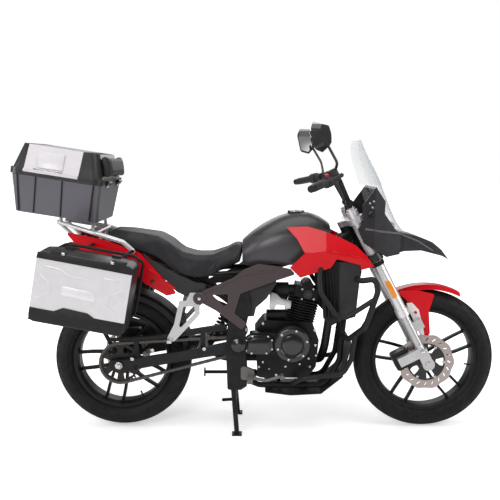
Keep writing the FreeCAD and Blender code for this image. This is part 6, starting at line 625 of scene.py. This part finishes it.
# The shrouds and the tail panels are red mouldings with a crease line along each. A black
# bolt holds the tail panel to the rail behind it.
def strips(line, side, drop, end_drop, depth):
    """Flat strips along a line of places: each is drop high at its start, end_drop at its end."""
    made = []
    for (x, y, z), (to_x, to_y, to_z) in zip(line, line[1:]):
        corners = [mm(x, side * y, z), mm(to_x, side * to_y, to_z), mm(to_x, side * to_y, to_z - end_drop),
                   mm(x, side * y, z - drop)]
        made.append(plate(corners, (0, side * depth, 0)))
    return joined(made)


shroud_line = [(838, 178, 834), (930, 192.5, 846), (1010, 200, 838), (1092, 203, 806)]
tail_line = ((134, 756), (146, 758), (258, 672), (252, 664))
for side, label in both_sides:
    creases = strips(shroud_line, side, drop=12, end_drop=9, depth=0.0022)
    keep(creases, "shroud_crease_" + label, lacquer_red, "chassis", round_edge=0.001)
    crease = plate([mm(x, side * 134, z) for x, z in tail_line], (0, side * 0.0035, 0))
    keep(crease, "tail_crease_" + label, lacquer_red, "chassis", round_edge=0.0012)
for side, label in both_sides:
    bolt = cap_bolts([mm(158, side * 134.5, 702)], (0, side, 0), 0.008, 0.006)
    keep(bolt, "tail_bolt_" + label, cover_gloss, "chassis")


# The rear mudguard is one black moulding. It carries the red tail lamp and, on short arms
# at its sides, the amber indicators.
def tail_tone(at):
    """Red on the tail lamp's lens, amber on the indicators' and black on the arm between."""
    lamp_back, lamp_foot, lamp_half_width = -0.831, 0.816, 0.062
    indicator_back, indicator_side, indicator_top, blend = -0.806, 0.134, 0.752, 0.0005
    ahead, side, up = at.axis(0), abs(at.axis(1)), at.axis(2)
    lamp = ahead.below(lamp_back, blend) * up.above(lamp_foot, blend) * side.below(lamp_half_width, blend)
    indicator = ahead.below(indicator_back, blend) * side.above(indicator_side, blend)
    indicator = indicator * up.below(indicator_top, blend)
    return indicator.mixed(lamp.mixed(tint(32, 30, 32), tint(176, 12, 18)), tint(226, 128, 20))


dress(coated("tail_lenses", tail_tone, 0.34), "rear_mudguard")

# The cowl and beak are moulded in dark grey round a glass lamp, with a raised ridge along
# the beak whose lighter grey is a painted highlight. Three bright screws on each side hold
# the clear screen, above a black cap.
cowl_grey = coated("cowl_grey", tint(42, 40, 43), 0.36)
dress(cowl_grey, "beak", "front_cowl")
dress(coated("lamp_glass", tint(190, 194, 198), 0.08, coat=0.8), "headlamp")
screen_clear, at_screen = shader("screen_clear")
edge_on = at_screen.through("LayerWeight", {"Blend": 0.3}, out=1)
cloudy = at_screen.noise(40.0).mixed(tint(196, 200, 204), tint(206, 210, 213))
output(screen_clear, at_screen.through("BsdfPrincipled", {
    "Base Color": cloudy, "Roughness": 0.08, "Specular IOR Level": 0.2,
    "Alpha": edge_on.ramp(0.1, 1.0) * 0.5 + 0.1}))
dress(screen_clear, "windscreen")
ridge_line = [(1078, 141, 936), (1128, 138.5, 928), (1246, 95, 909), (1330, 73, 872), (1398, 54, 828)]
# The ridge's lighter grey is a painted highlight along the beak's upper edge.
beak_painted_highlight = coated("beak_painted_highlight", tint(92, 89, 93), 0.3)
cowl_cap = [(0, 6), (9, 6), (12, 3), (15, 3), (17, 0), (17, -2), (0, -2)]
for side, label in both_sides:
    ridge = strips(ridge_line, side, drop=10, end_drop=7, depth=-0.008)
    keep(ridge, "beak_ridge_" + label, beak_painted_highlight, "steering", round_edge=0.0008)
    spots = [mm(x, side * 139, z) for x, z in ((1096, 1042), (1112, 1050), (1108, 1024))]
    steel_bolts("cowl_screws_" + label, spots, (0, side, 0), radius=0.0046, height=0.005, body="steering")
    cap = lathe(mm(1104, side * 139, 996), (0, side, 0), cowl_cap)
    keep(cap, "cowl_cap_" + label, cover_gloss, "steering")


# The handlebar is black tube, clamped above the fork. Rubber grips, levers and the switch
# housings with a red stop switch are clamped on it, and so are the mirrors, glass in black
# shells that are paler along their top edge.
def mirror_tone(at):
    # The shells are pale grey above this height and black below it.
    pale_from_up, blend = 1.364, 0.004
    return at.axis(2).ramp(pale_from_up, pale_from_up + blend).mixed(tint(26, 24, 25), tint(170, 168, 172))


def other_side(piece, name, body):
    """The same piece for the left side, as a mesh of its own."""
    twin = piece.copy()
    twin.data = piece.data.copy()
    bpy.context.collection.objects.link(twin)
    twin.data.transform(Matrix.Scale(-1, 4, (0, 1, 0)))
    twin.data.flip_normals()
    twin.name = twin.data.name = name
    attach(twin, body)
    return twin


dress(coated("bar_black", tint(34, 33, 34), 0.34), "handlebar")
hand_rubber = coated("hand_rubber", tint(52, 50, 51), 0.56, mottle=(60.0, 0.1), grain=(260.0, 0.0006))
dress(hand_rubber, "hand_controls")
dress(coated("mirror_black", mirror_tone, 0.32, coat=0.3), "mirrors")
switch_red = coated("switch_red", tint(206, 30, 36), 0.4)
stop_place, stop_outline = mm(893, -279, 1160), ((-9, -7), (7, -10), (11, 4), (-5, 8))
stop_switch = plate([stop_place + Vector((x, y, 0)) / 1000 for x, y in stop_outline], (0, 0, 0.009))
keep(stop_switch, "stop_switch", switch_red, "steering", round_edge=0.002)

shell_corners = [Vector(corner) for corner in (
    (889.0, -269.2, 1329.2), (873.3, -280.3, 1373.2), (826.6, -350.7, 1378.1), (817.0, -375.0, 1346.3),
    (834.5, -371.1, 1268.0), (871.1, -318.5, 1255.7), (890.0, -282.0, 1280.2))]
glass_share, glass_lift, glass_thick = 0.84, 0.0004, 0.0015
middle = sum(shell_corners, Vector()) / len(shell_corners)
first_side, far_side = shell_corners[2] - shell_corners[0], shell_corners[4] - shell_corners[0]
glass_normal = first_side.cross(far_side).normalized()
glass_normal *= -1 if glass_normal.x > 0 else 1
corners = [mm(*(middle + (corner - middle) * glass_share)) + glass_normal * glass_lift
           for corner in shell_corners]
silvered = coated("mirror_glass", tint(226, 228, 230), 0.04, metal=1.0, mottle=(30.0, 0.0),
                  grain=(900.0, 0.0))
glass = keep(plate(corners, glass_normal * glass_thick), "mirror_glass_right", silvered, "steering",
             round_edge=0.0006)
other_side(glass, "mirror_glass_left", "steering")

# Seat and backrest are foam under black vinyl, pulled tight over their bases, so their
# tops crown and their edges roll. They are blown up as cloth from their solid shapes.
vinyl = coated("seat_vinyl", tint(36, 34, 37), 0.5, mottle=(14.0, 0.05), grain=(1400.0, 0.0002))
most_swell, swell_fade = 0.008, 0.03


def stuffed(name, node, body, voxel, shrink, base_up):
    """A cushion from a solid: remeshed, drawn in, rounded, and blown up above its base."""
    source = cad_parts[node]
    bpy.ops.object.select_all(action="DESELECT")
    pad = source.copy()
    pad.data = source.data.copy()
    bpy.context.collection.objects.link(pad)
    pad.hide_render = False
    alone(pad)
    bpy.ops.object.mode_set(mode="EDIT")
    bpy.ops.mesh.select_all(action="SELECT")
    bpy.ops.mesh.remove_doubles(threshold=0.00005)
    bpy.ops.object.mode_set(mode="OBJECT")
    skin = pad.modifiers.new("skin", "REMESH")
    skin.mode, skin.voxel_size = "VOXEL", voxel
    bpy.ops.object.modifier_apply(modifier="skin")
    bpy.ops.object.mode_set(mode="EDIT")
    bpy.ops.mesh.select_all(action="SELECT")
    bpy.ops.transform.shrink_fatten(value=-shrink)
    bpy.ops.object.mode_set(mode="OBJECT")
    rounding = pad.modifiers.new("rounding", "SMOOTH")
    rounding.factor, rounding.iterations = 0.5, 24
    bpy.ops.object.modifier_apply(modifier="rounding")
    start = [vertex.co.copy() for vertex in pad.data.vertices]
    stuffing = pad.modifiers.new("stuffing", "CLOTH")
    stuffing.settings.use_pressure = True
    stuffing.settings.uniform_pressure_force = 4
    stuffing.settings.effector_weights.gravity = 0
    for step in range(1, 21):
        bpy.context.scene.frame_set(step)
    blown = pad.evaluated_get(bpy.context.evaluated_depsgraph_get()).to_mesh()
    ends = [vertex.co.copy() for vertex in blown.vertices]
    pad.modifiers.remove(stuffing)
    bpy.context.scene.frame_set(1)
    for vertex, before, after in zip(pad.data.vertices, start, ends):
        push = after - before
        if push.length > most_swell:
            push = push.normalized() * most_swell
        share = min(max((before.z - base_up) / swell_fade, 0.0), 1.0)
        vertex.co = before + push * share
    finer = pad.modifiers.new("finer", "SUBSURF")
    finer.levels = finer.render_levels = 1
    bpy.ops.object.modifier_apply(modifier="finer")
    keep(pad, name, vinyl, body, sharp=60)
    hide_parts(node)


stuffed("seat_cushion", "seat", "chassis", voxel=0.006, shrink=0.004, base_up=0.72)
stuffed("backrest_cushion", "backrest_pad", "top_lid", voxel=0.005, shrink=0.003, base_up=1.0)

# The side cases: a black tub, and a lid with a satin silver face between black bands.
# Raised lines stiffen the face. The lid is hinged along its foot, and two black latches
# with silver clips close it.
pannier_lean = math.radians(10.5)
pannier_middle = (-74, 714)
seam_out, face_out = 353.2, 468
band_blend = 0.0008


def on_case(start, lean, along, up, out):
    """A place on a case that leans: along and up from a start in the side view, and out to
    the right."""
    x, z = start
    return mm(x + along * math.cos(lean) + up * math.sin(lean), -out,
              z - along * math.sin(lean) + up * math.cos(lean))


def along_and_up(at, start, lean):
    """How far along and up from that start the place that a finish reads is, in metres."""
    zero = mm(start[0], 0, start[1])
    x, z = at.axis(0) - zero.x, at.axis(2) - zero.z
    return x * math.cos(lean) - z * math.sin(lean), x * math.sin(lean) + z * math.cos(lean)


def pannier(along, up, out):
    """A place on the right side case, from the middle of its side view."""
    return on_case(pannier_middle, pannier_lean, along, up, out)


def lid_silver(at):
    """1 on the silver part of a lid, 0 on its black bands and front edge."""
    face_foot, face_head, face_front = -0.086, 0.110, 0.186
    along, up = along_and_up(at, pannier_middle, pannier_lean)
    between = up.below(face_head, band_blend) * up.above(face_foot, band_blend)
    return between * along.below(face_front, band_blend)


def rounded(half_length, half_height, radius, steps=6):
    """A rectangle's outline with round corners, about its middle."""
    x, y = half_length - radius, half_height - radius
    corners = []
    for corner_x, corner_y, first in ((x, y, 0), (-x, y, 90), (-x, -y, 180), (x, -y, 270)):
        for n in range(steps + 1):
            turn = math.radians(first + 90 * n / steps)
            corners.append((corner_x + radius * math.cos(turn), corner_y + radius * math.sin(turn)))
    return corners


case_silver = coated("case_silver", lambda at: lid_silver(at).mixed(tint(30, 28, 29), tint(214, 212, 214)),
                     0.36, metal=lambda at: lid_silver(at) * 0.35, grain=(500.0, 0.00006))
case_black = coated("case_black", tint(30, 28, 29), 0.48, grain=(600.0, 0.0001))
lid_metal = coated("lid_metal", tint(222, 220, 222), 0.36, metal=0.35, grain=(500.0, 0.00006))
dress(case_black, "pannier_tub_left", "pannier_tub_right")

lid_outline = [pannier(along, up, seam_out) for along, up in rounded(190, 143, 26)]
lid_shell = plate(lid_outline, (0, (seam_out - face_out) / 1000, 0))
bpy.ops.object.mode_set(mode="EDIT")
choose(lid_shell, lambda middle, normal: normal.y < -0.9)
bpy.ops.mesh.inset(thickness=0.003)
bpy.ops.object.mode_set(mode="OBJECT")
face_middle, face_share, near_face = pannier(0, 0, face_out), 0.985, -0.46
for vertex in lid_shell.data.vertices:
    if vertex.co.y < near_face:
        vertex.co.x = face_middle.x + (vertex.co.x - face_middle.x) * face_share
        vertex.co.z = face_middle.z + (vertex.co.z - face_middle.z) * face_share
bpy.ops.object.mode_set(mode="EDIT")
choose(lid_shell, lambda middle, normal: normal.y > 0.9)
bpy.ops.mesh.delete(type="FACE")
bpy.ops.object.mode_set(mode="OBJECT")
round_edges(lid_shell, 0.005, 3, 50)
wall = lid_shell.modifiers.new("wall", "SOLIDIFY")
wall.thickness, wall.offset = 0.003, -1
bpy.ops.object.modifier_apply(modifier="wall")
keep(lid_shell, "pannier_shell_right", case_silver, "pannier_lid_right", sharp=40)
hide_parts("pannier_lid_right")


def on_face(outline, out, depth, shift=0):
    """A plate on the lid's face, from out to depth beyond it and shifted along it."""
    return plate([pannier(shift + along, up, out) for along, up in outline], (0, -depth / 1000, 0))


def pressed_line(points, width=3.4, height=2.2, out=467.6):
    """A raised line along the points on the lid's face, its ends square."""
    left, right = [], []
    for n, (along, up) in enumerate(points):
        before, after = points[max(n - 1, 0)], points[min(n + 1, len(points) - 1)]
        run = (Vector(after) - Vector(before)).normalized()
        across = Vector((-run.y, run.x)) * (width / 2)
        left.append(pannier(along + across.x, up + across.y, out))
        right.append(pannier(along - across.x, up - across.y, out))
    return plate(left + right[::-1], pannier(0, 0, out + height) - pannier(0, 0, out))


foot_band = ((-184, -135), (184, -135), (184, -92), (75, -90), (40, -71), (-57, -66), (-91, -86),
             (-184, -85))
head_band = ((-184, 135), (184, 135), (184, 108), (-184, 112))
face_lines = (
    [(-163, 49), (-121, 22), (-119, -18), (-165, -46)], [(156, 37), (112, 11), (110, -28), (153, -55)],
    [(-150, 85), (-87, 81), (-53, 62), (44, 61)], [(80, 76), (148, 75)],
)
face_frame = ((-72, 19), (59, 13), (59, -23), (-72, -18))
latch = ((-30, 140), (30, 140), (26, 152), (-26, 152))
latch_clip = ((-7, 138), (7, 138), (7, 148), (-7, 148))
lid_trim = {
    "foot_band": (case_black, [on_face(foot_band, 467.5, 4.2)], 0.0012),
    "head_band": (case_black, [on_face(head_band, 467.5, 3.6)], 0.0012),
    "face_lines": (lid_metal, [pressed_line(points) for points in face_lines], 0.0008),
    "face_frame": (lid_metal, [on_face(face_frame, 467.6, 2.4)], 0.001),
    "latches": (case_black, [on_face(latch, 430, 45, shift) for shift in (-105, 127)], 0.003),
    "latch_clips": (bright_steel, [on_face(latch_clip, 470, 6.5, shift) for shift in (-85, 105)], 0.0015),
}
right_lid = {"shell": lid_shell}
for part, (finish, parts, round_edge) in lid_trim.items():
    right_lid[part] = keep(joined(parts), "pannier_%s_right" % part, finish, "pannier_lid_right",
                           round_edge)
for part, piece in right_lid.items():
    twin = other_side(piece, "pannier_%s_left" % part, "pannier_lid_left")
    if part == "shell":
        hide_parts("pannier_lid_left")

# The top case: a tub with graphite walls between dark ribs, and a lid with a silver band
# over black, both moulded. The lid is hinged at its front end, where a steel clasp sits
# over each hinge.
top_lean = math.radians(8.8)
top_corner = (-417, 1016)


def top_case(along, up, out):
    """A place on the top case, from the lower back corner of its side view."""
    return on_case(top_corner, top_lean, along, up, out)


def tub_tone(at):
    rim_foot, blend = 0.156, 0.002
    up = along_and_up(at, top_corner, top_lean)[1]
    return up.ramp(rim_foot, rim_foot + blend).mixed(tint(84, 82, 90), tint(28, 26, 27))


def lid_tone(at):
    band_back, band_front, band_foot = 0.034, 0.262, 0.166
    along, up = along_and_up(at, top_corner, top_lean)
    silver = along.above(band_back, band_blend) * along.below(band_front, band_blend)
    silver = silver * up.above(band_foot, band_blend)
    return silver.mixed(tint(28, 26, 27), tint(196, 192, 196))


def tub_side(along, up, side):
    """A place on the tub's side wall, which slopes out towards its rim."""
    return top_case(along, up, -side * (185.6 + 37 * up / 172))


def lid_side(along, up, side):
    """A place on the lid's side wall, which slopes in towards its top."""
    return top_case(along, up, -side * (223.5 - 46 * (up - 173) / 114))


dress(coated("tub_graphite", tub_tone, 0.34, coat=0.3), "top_case_tub")
lid_bands = coated("lid_bands", lid_tone, 0.34, coat=0.2, grain=(500.0, 0.00006))
dress(lid_bands, "top_case_lid")
rib_foot_up, rib_head_up = 4, 156
lid_panel = ((88, 196), (194, 196), (190, 264), (82, 264))
lid_strip = ((74, 180), (192, 180), (192, 192), (74, 192))
for side, label in both_sides:
    ribs = []
    for foot_at, head_at, width in ((20, 8, 7), (82, 86, 6), (196, 196, 6), (318, 326, 8)):
        corners = [tub_side(foot_at, rib_foot_up, side), tub_side(foot_at + width, rib_foot_up, side),
                   tub_side(head_at + width, rib_head_up, side), tub_side(head_at, rib_head_up, side)]
        ribs.append(plate(corners, (0, side * 0.003, 0)))
    keep(joined(ribs), "top_case_ribs_" + label, case_black, "chassis", round_edge=0.001)
    panel = plate([lid_side(along, up, side) for along, up in lid_panel], (0, side * 0.003, 0))
    keep(panel, "lid_emboss_" + label, lid_bands, "top_lid", round_edge=0.0012)
    strip = plate([lid_side(along, up, side) for along, up in lid_strip], (0, side * 0.006, 0))
    keep(strip, "lid_strip_" + label, bright_steel, "top_lid", round_edge=0.001)
clasp, clasp_width, clasp_starts = ((361, 148), (370, 150), (370, 168), (361, 168)), 0.026, (-120, 94)
clasps = [plate([top_case(along, up, -y) for along, up in clasp], (0, clasp_width, 0)) for y in clasp_starts]
keep(joined(clasps), "top_case_clasps", bright_steel, "chassis", round_edge=0.002)

# The rack under the top case is silver steel tube, and the brackets of the passenger's
# pegs are silver castings. Both are bolted to the seat rails.
dress(cast_silver, "rear_rack", "passenger_hangers")
